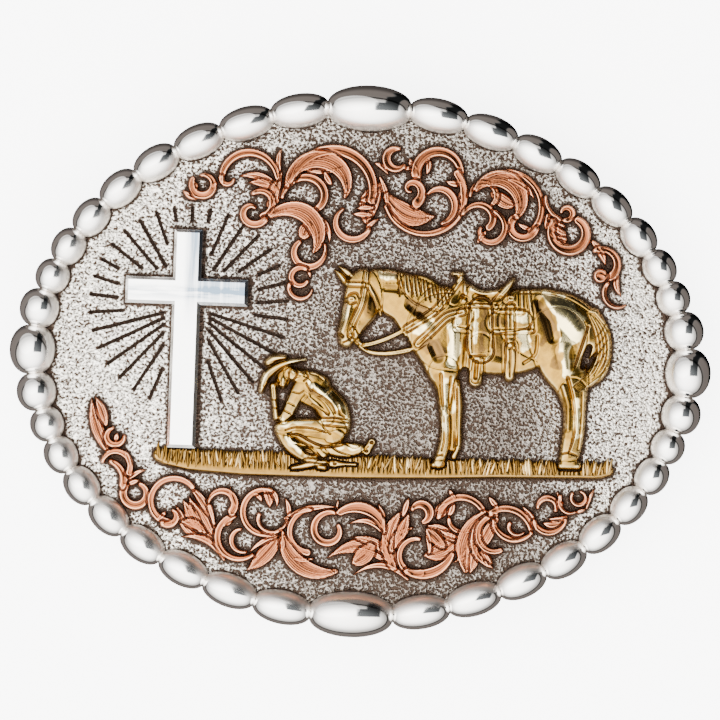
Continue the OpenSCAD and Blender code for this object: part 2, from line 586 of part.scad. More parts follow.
module cross() {
    tilt = asin(cross_mid[0] / dome_r);
    color(BRIGHT) difference() {
        translate([0, 0, dome_z]) rotate([0, tilt, 0]) translate([0, 0, dome_r]) {
            translate([0, cross_mid[1], 0]) rotate([0, 0, 90]) bevelled_bar(cross_h, cross_w, cross_rise);
            translate([0, arm_y, 0]) bevelled_bar(cross_arm, cross_arm_w, cross_rise);
        }
        dome(seat_gap);
    }
}

// The grass: its top edge rises to a point at each blade
module ground_plan() {
    blades = floor((ground_ends[1] - ground_ends[0]) / blade_pitch);
    tips = [for (i = [blades:-1:0]) let (x = ground_ends[0] + i * blade_pitch)
                each [[x + blade_pitch / 2, ground_top - blade_tall],
                      [x, ground_top + blade_tall * sin(blade_turn * i)]]];
    polygon(concat(GROUND_FOOT, tips));
}

// The grass is notched for the cross, hooves and boots that stand in it
module ground() {
    color(GOLD) cast(ground_rise) difference() {
        ground_plan();
        close_up(notch_gap) for (f = concat(HORSE, COWBOY)) form(f);
        cross_plan(notch_gap);
    }
}

module horse() {
    color(GOLD) figure(HORSE);
}

module cowboy() {
    color(GOLD) figure(COWBOY);
}

module scroll_upper() {
    color(COPPER) scroll(UPPER_CURLS, UPPER_LEAVES);
}

module scroll_lower() {
    color(COPPER) scroll(LOWER_CURLS, LOWER_LEAVES);
}

module belt_loop() {
    leg_y = loop_clear / 2 + wire_d / 2;
    color(BRIGHT) difference() {
        translate([loop_x, 0, wire_d / 2]) {
            rotate([90, 0, 0])
                cylinder(d = wire_d, h = 2 * (leg_y - loop_bend), center = true, $fn = 48);
            for (side = [0, 1]) mirror([0, side, 0]) translate([0, leg_y - loop_bend, loop_bend]) {
                rotate([0, 90, 0]) rotate_extrude(angle = 90, $fn = 48)
                    translate([loop_bend, 0]) circle(d = wire_d, $fn = 48);
                translate([0, loop_bend, 0]) cylinder(d = wire_d, h = face_z, $fn = 48);
            }
        }
        dome_above(-plate_t - seat_gap);
    }
}

// Everything above the hollow back, to trim what meets it
module dome_above(rise) {
    difference() {
        translate([-plate_l / 2, -plate_w / 2, 0]) cube([plate_l, plate_w, face_z + above]);
        dome(rise);
    }
}

module prong() {
    rise = face_z - prong_d / 2;
    long = rise / cos(prong_lean);
    flare = (prong_foot_d - prong_d) / 2;
    color(BRIGHT) difference() {
        translate([-prong_x - rise * tan(prong_lean), 0, prong_d / 2])
            rotate([0, prong_lean, 0]) {
                cylinder(d = prong_d, h = long, $fn = 48);
                sphere(d = prong_d, $fn = 48);
                translate([0, 0, prong_bare])
                    cylinder(d1 = prong_d, d2 = prong_foot_d, h = flare, $fn = 48);
                translate([0, 0, prong_bare + flare])
                    cylinder(d = prong_foot_d, h = long - prong_bare - flare, $fn = 48);
            }
        dome_above(-plate_t - seat_gap);
    }
}

plate();
bead_rim();
cross();
ground();
horse();
cowboy();
scroll_upper();
scroll_lower();
belt_loop();
prong();
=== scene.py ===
"""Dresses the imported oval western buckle: stippled silver plate, bead rim and cast overlays."""

import logging
import math
from dataclasses import dataclass, field
from enum import Enum
from typing import Any, Iterable, NamedTuple, Sequence

import bpy
import numpy as np
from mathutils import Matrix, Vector
from mathutils.geometry import delaunay_2d_cdt


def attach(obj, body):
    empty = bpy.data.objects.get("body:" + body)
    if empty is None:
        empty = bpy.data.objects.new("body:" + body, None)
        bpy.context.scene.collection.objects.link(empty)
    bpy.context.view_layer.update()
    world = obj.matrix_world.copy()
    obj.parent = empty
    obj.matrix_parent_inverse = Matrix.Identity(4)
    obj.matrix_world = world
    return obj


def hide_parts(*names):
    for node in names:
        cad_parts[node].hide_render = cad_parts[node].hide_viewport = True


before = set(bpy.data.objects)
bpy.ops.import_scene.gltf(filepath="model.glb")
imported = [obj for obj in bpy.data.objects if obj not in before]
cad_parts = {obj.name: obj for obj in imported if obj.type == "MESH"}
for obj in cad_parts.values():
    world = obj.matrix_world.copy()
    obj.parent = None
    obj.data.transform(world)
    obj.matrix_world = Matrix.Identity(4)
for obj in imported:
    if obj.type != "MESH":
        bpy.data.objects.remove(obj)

LOG = logging.getLogger("buckle")
MM = 0.001
Row = Sequence[float]
Colour = tuple[float, float, float, float]

# The face, in millimetres, as in the part's source
DOME_R = 240.0
FACE_Z = 12.9
DOME_Z = FACE_Z - DOME_R
OVAL_POWER = 1.96
PLATE_L = 95.7
PLATE_W = 74.6
PLATE_T = 2.2

# The mirrored quarters of the oval, as signs of x and y
QUARTERS = ((1, 1), (-1, 1), (1, -1), (-1, -1))


def face_height(x: np.ndarray, y: np.ndarray) -> np.ndarray:
    """Height of the domed face over a place on the plan."""
    return DOME_Z + np.sqrt(DOME_R**2 - x**2 - y**2)


def oval_point(length: float, width: float, angle: float) -> tuple[float, float]:
    """Finds a place on an oval.

    Args:
        length: The oval's length.
        width: Its width.
        angle: The place's angle in radians.

    Returns:
        Its x and y.
    """
    c, s = math.cos(angle), math.sin(angle)
    power = 2 / OVAL_POWER
    x = length / 2 * math.copysign(abs(c) ** power, c)
    y = width / 2 * math.copysign(abs(s) ** power, s)
    return x, y


def in_oval(places: np.ndarray, half_x: float, half_y: float, power: float = OVAL_POWER) -> np.ndarray:
    """Whether places on the plan are inside an oval of two half sizes."""
    return np.abs(places[:, 0] / half_x) ** power + np.abs(places[:, 1] / half_y) ** power < 1


def smooth_rows(rows: Sequence[Row], steps: int) -> np.ndarray:
    """Puts smooth in-between rows into a short table.

    Args:
        rows: Two or more rows of numbers, the first two a place.
        steps: Stretches between two rows.

    Returns:
        The finer table.
    """
    p = np.array(rows, float)
    padded = np.vstack([p[0], p, p[-1]])
    out = []
    for i in range(len(p) - 1):
        a, b, c, d = padded[i : i + 4]
        for k in range(steps):
            t = k / steps
            bend = (2 * a - 5 * b + 4 * c - d) * t**2 + (3 * b - a - 3 * c + d) * t**3
            out.append(0.5 * (2 * b + (c - a) * t + bend))
    out.append(p[-1])
    return np.array(out)


def soft(value: np.ndarray, low: float, high: float) -> np.ndarray:
    """Smooth step from nought at low to one at high."""
    t = np.clip((value - low) / (high - low), 0, 1)
    return t * t * (3 - 2 * t)


def bell(value: np.ndarray, width: float) -> np.ndarray:
    """One at nought, falling off on both sides over a width."""
    return np.exp(-((value / width) ** 2))


def waves(turns: np.ndarray) -> np.ndarray:
    """Ripples between nought and one, one for each turn."""
    return 0.5 + 0.5 * np.cos(2 * np.pi * turns)


def blurred(grid: np.ndarray, size: float) -> np.ndarray:
    """Smooths a grid by a bell.

    Args:
        grid: The values.
        size: The bell's width in cells.

    Returns:
        The smoothed values.
    """
    across_y = np.fft.fftfreq(grid.shape[0])[:, None]
    across_x = np.fft.rfftfreq(grid.shape[1])[None, :]
    kept = np.exp(-2 * (math.pi * size) ** 2 * (across_x**2 + across_y**2))
    return np.fft.irfft2(np.fft.rfft2(grid) * kept, s=grid.shape)


def loops(sizes: Iterable[int]) -> list[tuple[int, int]]:
    """Joins closed outlines whose points follow one another in one list.

    Args:
        sizes: Number of points of each outline.

    Returns:
        Pairs of point numbers.
    """
    edges, start = [], 0
    for size in sizes:
        edges += [(start + k, start + (k + 1) % size) for k in range(size)]
        start += size
    return edges


def sheet(points: np.ndarray, edges: list[tuple[int, int]], closeness: float = 1e-5) -> list[list[int]]:
    """Fills outlines on the plan with triangles that keep every point and edge.

    Args:
        points: Rows of x and y.
        edges: Pairs of point numbers.
        closeness: Distance under which two points are one.

    Returns:
        Triangles as point numbers, turning left.
    """
    made = delaunay_2d_cdt([Vector(p) for p in points], edges, [], 0, closeness)
    source = [int(numbers[0]) for numbers in made[3]]
    return [[source[v] for v in face] for face in made[2]]


class Touch(Enum):
    """Ways in which the modeller's tool meets a relief; the last two paint dark reflections and highlights
    into its colour.
    """

    SWELL = "swell"
    HOLLOW = "hollow"
    STRAP = "strap"
    GROOVE = "groove"
    GAP = "gap"
    # Painted dark reflection and painted highlight, laid into the colour only
    PAINTED_DARK_REFLECTION = "painted_dark_reflection"
    PAINTED_HIGHLIGHT = "painted_highlight"


# Least height of the metal that a tool works
LEAST_HEIGHT = {Touch.SWELL: 0.05, Touch.HOLLOW: 0.3, Touch.STRAP: 0.3, Touch.GROOVE: 0.25}


@dataclass
class Chart:
    """A stroke's own coordinates over a window of a relief: along it, across it and inside its edge."""

    window: tuple[slice, slice]
    run: np.ndarray
    side: np.ndarray
    edge: np.ndarray
    length: float


@dataclass
class Relief:
    """A cast relief held as heights over the face on a square grid, in millimetres."""

    low: tuple[float, float]
    high: tuple[float, float]
    step: float
    sunk: float = 0.35
    # Polish with painted highlight on ridges, and painted shade in valleys
    ridge_polish_and_highlight: float = 0.3
    ridge_shade_bias: float = 0.0
    ridge_height: float = 0.14
    ridge_reach: float = 0.28
    basin_reach: float = 0.5
    seam_reach: float = 0.16
    slope_reach: float = 0.1
    crease_width: float = 0.13
    strap_edge: float = 0.12
    strap_seam: float = 0.11
    ragged_size: float = 0.3
    ragged_reach: float = 0.22
    seed: int = 3
    height: np.ndarray = field(init=False)
    # Painted highlights and dark reflections over the grid, added to the colour
    tone: np.ndarray = field(init=False)

    def __post_init__(self) -> None:
        """Lays out the grid with nothing on it."""
        self.xs = np.arange(self.low[0], self.high[0], self.step)
        self.ys = np.arange(self.low[1], self.high[1], self.step)
        shape = (len(self.ys), len(self.xs))
        draw = np.random.default_rng(self.seed)
        grain = blurred(draw.standard_normal(shape), self.ragged_size / self.step)
        self.ragged = self.ragged_reach * grain / grain.std()
        self.height = np.full(shape, -self.sunk)
        self.tone = np.zeros(shape)

    def chart(self, axis: np.ndarray, margin: float = 0.6) -> Chart:
        """Works out a stroke's coordinates.

        Args:
            axis: Rows of x, y and width along the stroke.
            margin: How far past the stroke's edge the window reaches.

        Returns:
            Distance run along it, place across it from -1 to 1, and depth inside its edge.
        """
        reach = axis[:, 2].max() / 2 + margin
        window = tuple(
            slice(*np.searchsorted(line, [axis[:, k].min() - reach, axis[:, k].max() + reach]))
            for line, k in ((self.ys, 1), (self.xs, 0))
        )
        x, y = np.meshgrid(self.xs[window[1]], self.ys[window[0]])
        best = np.full(x.shape, 1e9)
        run, side = np.zeros(x.shape), np.zeros(x.shape)
        done = 0.0
        for a, b in zip(axis[:-1], axis[1:]):
            d = b[:2] - a[:2]
            n = math.hypot(*d)
            if n < 1e-9:
                continue
            u = np.clip(((x - a[0]) * d[0] + (y - a[1]) * d[1]) / n**2, 0, 1)
            px, py = x - a[0] - u * d[0], y - a[1] - u * d[1]
            gap = np.hypot(px, py)
            half = (a[2] + (b[2] - a[2]) * u) / 2
            near = gap - half < best
            best = np.where(near, gap - half, best)
            turn = np.where(d[0] * py - d[1] * px >= 0, 1.0, -1.0)
            side = np.where(near, turn * gap / np.maximum(half, 1e-6), side)
            run = np.where(near, done + u * n, run)
            done += n
        return Chart(window, run, side, -best, done)

    def lay(self, c: Chart, body: np.ndarray, crease: float = 0.0, blend: float = 0.0) -> None:
        """Lays a body over what is there.

        Args:
            c: The stroke's coordinates.
            body: Its height over the face.
            crease: Depth of the crease cut round it in what is there.
            blend: Height over which the two run together.
        """
        here = self.height[c.window]
        if crease:
            here = here - crease * bell(c.edge, self.crease_width) * (c.edge < 0.1) * (here > 0)
            here = np.maximum(here, -self.sunk)
        merged = np.maximum(here, body)
        if blend:
            share = np.clip(0.5 + 0.5 * (body - here) / blend, 0, 1)
            round_joint = here * (1 - share) + body * share + blend * share * (1 - share)
            merged = np.where(np.minimum(here, body) <= 0.02 - self.sunk, merged, round_joint)
        self.height[c.window] = merged

    def wall(self, c: Chart, top: float, rounding: float) -> np.ndarray:
        """Shapes a flat body with a rounded edge, sunk below the face outside it.

        Args:
            c: The stroke's coordinates.
            top: Height of the flat.
            rounding: Width of the rounded edge.

        Returns:
            Its height over the face.
        """
        u = np.clip(c.edge / rounding, 0, 1)
        inside = top * (1 - (1 - u) ** 2.2)
        return np.where(c.edge > 0, inside, np.maximum(5 * c.edge, -self.sunk))

    def tooled(self, touch: Touch, amount: float, rows: Sequence[Row], steps: int = 5) -> None:
        """Works one stroke of the tool.

        Args:
            touch: What the stroke does.
            amount: Height, depth or strength of it.
            rows: x, y and width along it.
            steps: In-between rows for each row.
        """
        c = self.chart(smooth_rows(rows, steps))
        here = self.height[c.window]
        metal = here > LEAST_HEIGHT.get(touch, 0)
        fall = np.where(c.edge > 0, np.clip(1 - c.side**2, 0, 1), 0)
        if touch is Touch.SWELL:
            here += amount * fall**1.5 * metal
        elif touch is Touch.HOLLOW:
            here -= amount * fall**1.5 * metal
        elif touch is Touch.GROOVE:
            here -= amount * fall * metal
        elif touch is Touch.STRAP:
            body = here + amount * soft(c.edge, -0.05, self.strap_edge)
            body -= 0.9 * amount * bell(c.edge + self.strap_edge, self.strap_seam)
            self.height[c.window] = np.where(metal, body, here)
            self.lay(c, self.wall(c, 0.9, 0.3))
        elif touch is Touch.GAP:
            self.height[c.window] = np.minimum(here, np.maximum(-5 * c.edge, -self.sunk))
        else:
            # Paints a dark reflection or a highlight into the tone, with ragged edges
            sign = 1 if touch is Touch.PAINTED_HIGHLIGHT else -1
            self.tone[c.window] += sign * amount * soft(c.edge + self.ragged[c.window], -0.25, 0.45)

    def patina_and_shade(self) -> np.ndarray:
        """Works out the patina left in the recesses and at the foot of each form, and the painted shade on
        its steep slopes.

        Returns:
            Its strength over the grid, from nought to one.
        """
        basin = blurred(np.maximum(self.height, 0), self.basin_reach / self.step) - self.height
        seam = blurred(self.height, self.seam_reach / self.step) - self.height
        slope = np.hypot(*np.gradient(blurred(self.height, self.slope_reach / self.step), self.step))
        dark = 0.8 * soft(basin, 0.12, 0.55) + soft(seam, 0.025, 0.15)
        # Patina at the foot of each form, and painted shade on its steep slopes
        dark += 0.75 * soft(self.height, 0.6, 0.0) + 0.2 * soft(slope, 0.7, 2.0)
        return np.clip(dark, 0, 1)

    def ridges(self) -> np.ndarray:
        """Works out the polish and painted highlight on ridges and rims, and the painted shade in valleys.

        Returns:
            Its strength over the grid, below nought in valleys, where it paints shade.
        """
        around = blurred(np.maximum(self.height, 0.5), self.ridge_reach / self.step)
        proud = (self.height - around) / self.ridge_height
        return self.ridge_polish_and_highlight * np.clip(proud - self.ridge_shade_bias, -1.3, 1)

    def at(self, places: np.ndarray, values: np.ndarray) -> np.ndarray:
        """Reads a grid that lies over the relief.

        Args:
            places: Rows of x and y.
            values: The grid.

        Returns:
            Its value at each place, nought outside the relief.
        """
        i = np.round((places[:, 0] - self.xs[0]) / self.step).astype(int)
        j = np.round((places[:, 1] - self.ys[0]) / self.step).astype(int)
        inside = (i >= 0) & (i < len(self.xs)) & (j >= 0) & (j < len(self.ys))
        i, j = np.clip(i, 0, len(self.xs) - 1), np.clip(j, 0, len(self.ys) - 1)
        return np.where(inside, values[j, i], 0)

    def piece(self, name: str) -> bpy.types.Object:
        """Makes the relief a closed mesh.

        Args:
            name: Name of the piece.

        Returns:
            The object, with its patina and painted shade, and its tone of painted highlights and dark
            reflections, as attributes.
        """
        cells = self._cells()
        nx = len(self.xs)
        j, i = np.nonzero(cells)
        corners = np.stack([j * nx + i, j * nx + i + 1, (j + 1) * nx + i + 1, (j + 1) * nx + i], 1)
        used, flat = np.unique(corners, return_inverse=True)
        quads = flat.reshape(-1, 4)
        x, y = self.xs[used % nx], self.ys[used // nx]
        top = np.stack([x, y, face_height(x, y) + self.height.ravel()[used]], 1)
        obj = mesh_piece(name, top, quads.tolist() + self._underside(top[:, :2], quads, cells).tolist())
        set_layer(obj, "patina_and_shade", self.patina_and_shade().ravel()[used])
        # Painted highlights and dark reflections, with the ridges' polish and painted highlight and shade
        set_layer(obj, "tone", (self.tone + self.ridges()).ravel()[used])
        return obj

    def _cells(self) -> np.ndarray:
        """Finds the cells of the grid that the relief covers.

        Returns:
            True for each covered cell, with none that touch by a corner alone.
        """
        up = self.height > 0.001 - self.sunk
        keep = up[:-1, :-1] | up[1:, :-1] | up[:-1, 1:] | up[1:, 1:]
        for _ in range(6):
            pinch = keep[:-1, :-1] & keep[1:, 1:] & ~keep[1:, :-1] & ~keep[:-1, 1:]
            other = ~keep[:-1, :-1] & ~keep[1:, 1:] & keep[1:, :-1] & keep[:-1, 1:]
            if not (pinch.any() or other.any()):
                break
            keep[1:, :-1] |= pinch
            keep[:-1, :-1] |= other
        return keep

    def _underside(self, flat: np.ndarray, quads: np.ndarray, cells: np.ndarray) -> np.ndarray:
        """Closes the relief below with large triangles between the points of its border.

        Args:
            flat: x and y of its points.
            quads: The faces of its top.
            cells: The cells that it covers.

        Returns:
            Triangles that face down.
        """
        sides = np.concatenate([quads[:, [k, (k + 1) % 4]] for k in range(4)])
        _, first, count = np.unique(np.sort(sides, 1), axis=0, return_index=True, return_counts=True)
        border = sides[first[count == 1]]
        ring = np.unique(border)
        order = {v: k for k, v in enumerate(ring.tolist())}
        edges = [(order[a], order[b]) for a, b in border.tolist()]
        tris = ring[np.array(sheet(flat[ring], edges, 1e-6))]
        middle = flat[tris].mean(1)
        i = np.clip(((middle[:, 0] - self.xs[0]) / self.step).astype(int), 0, cells.shape[1] - 1)
        j = np.clip(((middle[:, 1] - self.ys[0]) / self.step).astype(int), 0, cells.shape[0] - 1)
        tris = tris[cells[j, i]]
        first_side = flat[tris[:, 1]] - flat[tris[:, 0]]
        second_side = flat[tris[:, 2]] - flat[tris[:, 0]]
        up = first_side[:, 0] * second_side[:, 1] - first_side[:, 1] * second_side[:, 0] > 0
        tris[up] = tris[up][:, ::-1]
        return tris


def mesh_piece(name: str, points: np.ndarray, faces: list, smooth: bool = True) -> bpy.types.Object:
    """Makes an object of points in millimetres and faces.

    Args:
        name: Name of the piece.
        points: Rows of x, y and z.
        faces: Lists of point numbers, turning left as seen from outside.
        smooth: Whether its faces are shaded smooth.

    Returns:
        The object, in the scene.
    """
    mesh = bpy.data.meshes.new(name)
    mesh.from_pydata((np.asarray(points) * MM).tolist(), [], faces)
    mesh.update()
    mesh.validate()
    if smooth:
        mesh.shade_smooth()
    obj = bpy.data.objects.new(name, mesh)
    bpy.context.scene.collection.objects.link(obj)
    return obj


def set_layer(obj: bpy.types.Object, name: str, values: np.ndarray) -> None:
    """Stores one number for each point of a mesh."""
    layer = obj.data.attributes.new(name, "FLOAT", "POINT")
    layer.data.foreach_set("value", np.asarray(values, np.float32))


class Wire:
    """A node's socket that takes part in sums."""

    def __init__(self, graph: "Graph", socket: Any) -> None:
        """Wraps a socket of a graph."""
        self.graph, self.socket = graph, socket

    def _with(self, operation: str, *others: Any) -> "Wire":
        """Adds a Math node that starts from this socket."""
        return self.graph.node("ShaderNodeMath", {"operation": operation}, dict(enumerate((self, *others))))

    def __add__(self, other: Any) -> "Wire":
        """Sum."""
        return self._with("ADD", other)

    __radd__ = __add__

    def __sub__(self, other: Any) -> "Wire":
        """Difference."""
        return self._with("SUBTRACT", other)

    def __rsub__(self, other: Any) -> "Wire":
        """Difference from a number."""
        return self.graph.node("ShaderNodeMath", {"operation": "SUBTRACT"}, {0: other, 1: self})

    def __mul__(self, other: Any) -> "Wire":
        """Product."""
        return self._with("MULTIPLY", other)

    __rmul__ = __mul__

    def __pow__(self, other: Any) -> "Wire":
        """Power."""
        return self._with("POWER", other)

    def size(self) -> "Wire":
        """Its size whatever its sign."""
        return self._with("ABSOLUTE")

    def most(self, other: Any) -> "Wire":
        """The larger of two."""
        return self._with("MAXIMUM", other)

    def least(self, other: Any) -> "Wire":
        """The smaller of two."""
        return self._with("MINIMUM", other)

    def clamped(self) -> "Wire":
        """Held between nought and one."""
        return self.graph.node("ShaderNodeClamp", {}, {0: self})

    def ramp(self, low: float, high: float) -> "Wire":
        """Smooth step from nought at low to one at high."""
        values = {0: self, 1: low, 2: high}
        return self.graph.node("ShaderNodeMapRange", {"interpolation_type": "SMOOTHSTEP"}, values)


class Graph:
    """A node tree that is added to node by node."""

    def __init__(self, tree: bpy.types.NodeTree) -> None:
        """Takes hold of a tree."""
        self.tree = tree

    def node(self, kind: str, settings: dict, inputs: dict, out: Any = 0) -> Wire:
        """Adds a node.

        Args:
            kind: The node's type.
            settings: Its settings, set first.
            inputs: Values or wires, by the socket's name or number.
            out: The output that is returned.

        Returns:
            The wire from that output.
        """
        made = self.tree.nodes.new(kind)
        for key, value in settings.items():
            setattr(made, key, value)
        for key, value in inputs.items():
            self.feed(made.inputs[key], value)
        return Wire(self, made.outputs[out])

    def feed(self, socket: Any, value: Any) -> None:
        """Links a wire to a socket, or sets the socket's value.

        Args:
            socket: The socket.
            value: The wire or the value.
        """
        if isinstance(value, Wire):
            self.tree.links.new(value.socket, socket)
        else:
            socket.default_value = value

    def mix(self, share: Any, first: Any, second: Any) -> Wire:
        """Mixes two colours by a share."""
        return self.node("ShaderNodeMix", {"data_type": "RGBA"}, {0: share, 6: first, 7: second}, 2)

    def split(self, vector: Wire) -> tuple[Wire, ...]:
        """The three parts of a vector."""
        outputs = self.node("ShaderNodeSeparateXYZ", {}, {0: vector}).socket.node.outputs
        return tuple(Wire(self, output) for output in outputs)

    def join(self, x: Any, y: Any, z: Any) -> Wire:
        """A vector of three parts."""
        return self.node("ShaderNodeCombineXYZ", {}, {0: x, 1: y, 2: z})


class Finish(Graph):
    """A material's node tree, with one metal or plain shader."""

    def __init__(self, name: str) -> None:
        """Starts the material.

        Args:
            name: Its name.
        """
        self.material = bpy.data.materials.new(name)
        self.material.use_nodes = True
        super().__init__(self.material.node_tree)
        self.shader = self.tree.nodes["Principled BSDF"]
        self.place = self.node("ShaderNodeTexCoord", {}, {}, "Object")

    def layer(self, name: str) -> Wire:
        """A number stored on the mesh."""
        return self.node("ShaderNodeAttribute", {"attribute_name": name}, {}, "Fac")

    def noise(self, scale: float, detail: float = 2.0, stretch: Row = (1, 1, 1)) -> Wire:
        """Adds cloudy noise over the object's own place.

        Args:
            scale: Clouds to the metre.
            detail: How many finer layers it has.
            stretch: Share of the scale along each axis.

        Returns:
            The noise.
        """
        where = self.node("ShaderNodeMapping", {}, {0: self.place, 3: stretch})
        return self.node("ShaderNodeTexNoise", {}, {"Vector": where, "Scale": scale, "Detail": detail})

    def bump(self, height: Wire, depth: float, strength: float = 1.0) -> Wire:
        """Adds a bump of a depth in metres."""
        return self.node("ShaderNodeBump", {}, {"Height": height, "Distance": depth, "Strength": strength})

    def finish(self, **sockets: Any) -> bpy.types.Material:
        """Feeds the shader's sockets.

        Args:
            sockets: What each is fed, by its name with underscores.

        Returns:
            The material.
        """
        for name, value in sockets.items():
            self.feed(self.shader.inputs[name.replace("_", " ")], value)
        return self.material


@dataclass(frozen=True)
class CastMetal:
    """Cast and plated metal: polish and painted highlights on top, painted dark reflections, patina in its
    recesses and painted shade on its slopes.
    """

    name: str
    bright: Colour
    deep: Colour
    dark: Colour
    # Colour of the painted highlights
    painted_highlight_colour: Colour
    rough: float
    dark_rough: float = 0.5
    cloud_scale: float = 420
    mottle_scale: float = 900
    grain_scale: float = 2600
    grain_depth: float = 0.00001

    def material(self) -> bpy.types.Material:
        """Builds the material from the stored patina with its painted shade, and the stored tone of painted
        highlights and dark reflections.

        Returns:
            The material.
        """
        g = Finish(self.name)
        patina_and_shade, tone = g.layer("patina_and_shade"), g.layer("tone")
        clouds, mottle = g.noise(self.cloud_scale, 4), g.noise(self.mottle_scale, 3).ramp(0.35, 0.7)
        darkening = (patina_and_shade * (0.75 + 0.5 * clouds)).clamped()
        # Painted dark reflections deepen the body, and painted highlights pale it
        painted_darkness = tone * -1.0
        body = g.mix(mottle * 0.5, self.bright, self.deep)
        body = g.mix(painted_darkness.ramp(0.0, 0.9), body, self.deep)
        body = g.mix(painted_darkness.ramp(0.6, 1.9), body, self.dark)
        body = g.mix(tone.ramp(0.0, 0.8), body, self.painted_highlight_colour)
        # Patina in the recesses and painted shade on the slopes darken it last
        colour = g.mix(darkening.ramp(0.15, 1.05), body, self.dark)
        roughness = self.rough + darkening * (self.dark_rough - self.rough) + clouds * 0.06
        pits = g.bump(g.noise(self.grain_scale, 3), self.grain_depth)
        return g.finish(Base_Color=colour, Roughness=roughness, Metallic=1.0, Normal=pits)


@dataclass(frozen=True)
class StippledSilver:
    """Antiqued silver ground, stippled by hand, dark in its pits, with patina and painted shade round the
    overlays, painted light towards its ends and painted shade over its upper half.
    """

    name: str = "stippled_silver"
    bright: Colour = (0.90, 0.85, 0.76, 1)
    dull: Colour = (0.060, 0.038, 0.026, 1)
    dark: Colour = (0.046, 0.030, 0.022, 1)
    worm_scale: float = 2600.0
    worm_depth: float = 0.00016
    patch_scale: float = 90
    pit_level: float = 0.485
    pit_edge: float = 0.075
    # Painted light at the plate's two ends and painted shade over its upper half
    left_end_painted_light: tuple[float, float] = (0.002, 0.040)
    right_end_painted_light: tuple[float, float] = (0.022, 0.042)
    upper_half: tuple[float, float] = (0.0, 0.03)

    def material(self) -> bpy.types.Material:
        """Builds the material, with winding pits where noise is low, a halo of patina and painted shade from
        the stored layer, painted light at the ends and painted shade over the upper half.

        Returns:
            The material.
        """
        g = Finish(self.name)
        halo = g.layer("patina_and_shade")
        across, up, _ = g.split(g.place)
        worms, patches = g.noise(self.worm_scale, 1.2), g.noise(self.patch_scale, 1).ramp(0.3, 0.75)
        # Painted light towards the plate's two ends
        ends = (across * -1.0).ramp(*self.left_end_painted_light).most(across.ramp(*self.right_end_painted_light))
        level = self.pit_level - ends * 0.05 + halo * 0.08 + (g.noise(120, 1) - 0.5) * 0.05
        tips = (worms - level - halo.ramp(0.85, 0.95) * 0.3).ramp(-self.pit_edge, self.pit_edge)
        # Share of the dull colour: random patches, less at the lit ends and more over the upper half, as
        # painted light and shade
        dull_share_and_painted_light = patches * 0.10 + 0.78 - ends * 1.04 - up.ramp(*self.upper_half) * 0.25
        body = g.mix(dull_share_and_painted_light.clamped(), self.bright, self.dull)
        colour = g.mix(tips, self.dark, body)
        colour = g.mix(halo.ramp(0.15, 0.8), colour, self.dark)
        roughness = 0.55 - tips * 0.27 + halo * 0.1
        relief = g.bump(worms.ramp(0.36, 0.66), self.worm_depth, 0.8)
        return g.finish(Base_Color=colour, Roughness=roughness, Metallic=1.0, Normal=relief)


@dataclass(frozen=True)
class PolishedSilver:
    """Bright polished silver with fine wiping marks."""

    name: str
    bright: Colour = (0.93, 0.92, 0.90, 1)
    cloudy: Colour = (0.6, 0.6, 0.6, 1)
    rough: float = 0.10
    mark_depth: float = 0.000004

    def material(self) -> bpy.types.Material:
        """Builds the material.

        Returns:
            The material.
        """
        g = Finish(self.name)
        colour = g.mix(g.noise(160, 3).ramp(0.45, 0.8) * 0.12, self.bright, self.cloudy)
        roughness = self.rough + g.noise(300, 3) * 0.05
        marks = g.bump(g.noise(1200, 2, (1, 0.2, 1)), self.mark_depth)
        return g.finish(Base_Color=colour, Roughness=roughness, Metallic=1.0, Normal=marks)


@dataclass(frozen=True)
class BeadSilver:
    """Bright silver of the beads, with a painted warm reflection of the plate and more haze low on their
    inner sides, painted shade where they meet the plate, and dark collars.
    """

    name: str = "bead_silver"
    bright: Colour = (0.95, 0.93, 0.90, 1)
    # Warm of the random cloudiness and of the painted reflection of the plate
    warm: Colour = (0.80, 0.74, 0.68, 1)
    dark: Colour = (0.06, 0.045, 0.036, 1)
    rough: float = 0.06
    mark_depth: float = 0.000003

    def material(self) -> bpy.types.Material:
        """Builds the material from the stored haze with its painted reflection, and the patina with its
        painted shade.

        Returns:
            The material.
        """
        g = Finish(self.name)
        haze_and_reflection, patina_and_shade = g.layer("tone"), g.layer("patina_and_shade")
        clouds = g.noise(260, 3)
        # Random cloudiness, and a painted warm reflection of the plate on the inner sides
        colour = g.mix(clouds.ramp(0.4, 0.75) * 0.25 + haze_and_reflection * 0.5, self.bright, self.warm)
        colour = g.mix((patina_and_shade * (0.7 + clouds * 0.6)).clamped(), colour, self.dark)
        roughness = self.rough + clouds * 0.03 + haze_and_reflection * 0.34
        marks = g.bump(g.noise(1200, 2), self.mark_depth)
        return g.finish(Base_Color=colour, Roughness=roughness, Metallic=1.0, Normal=marks)


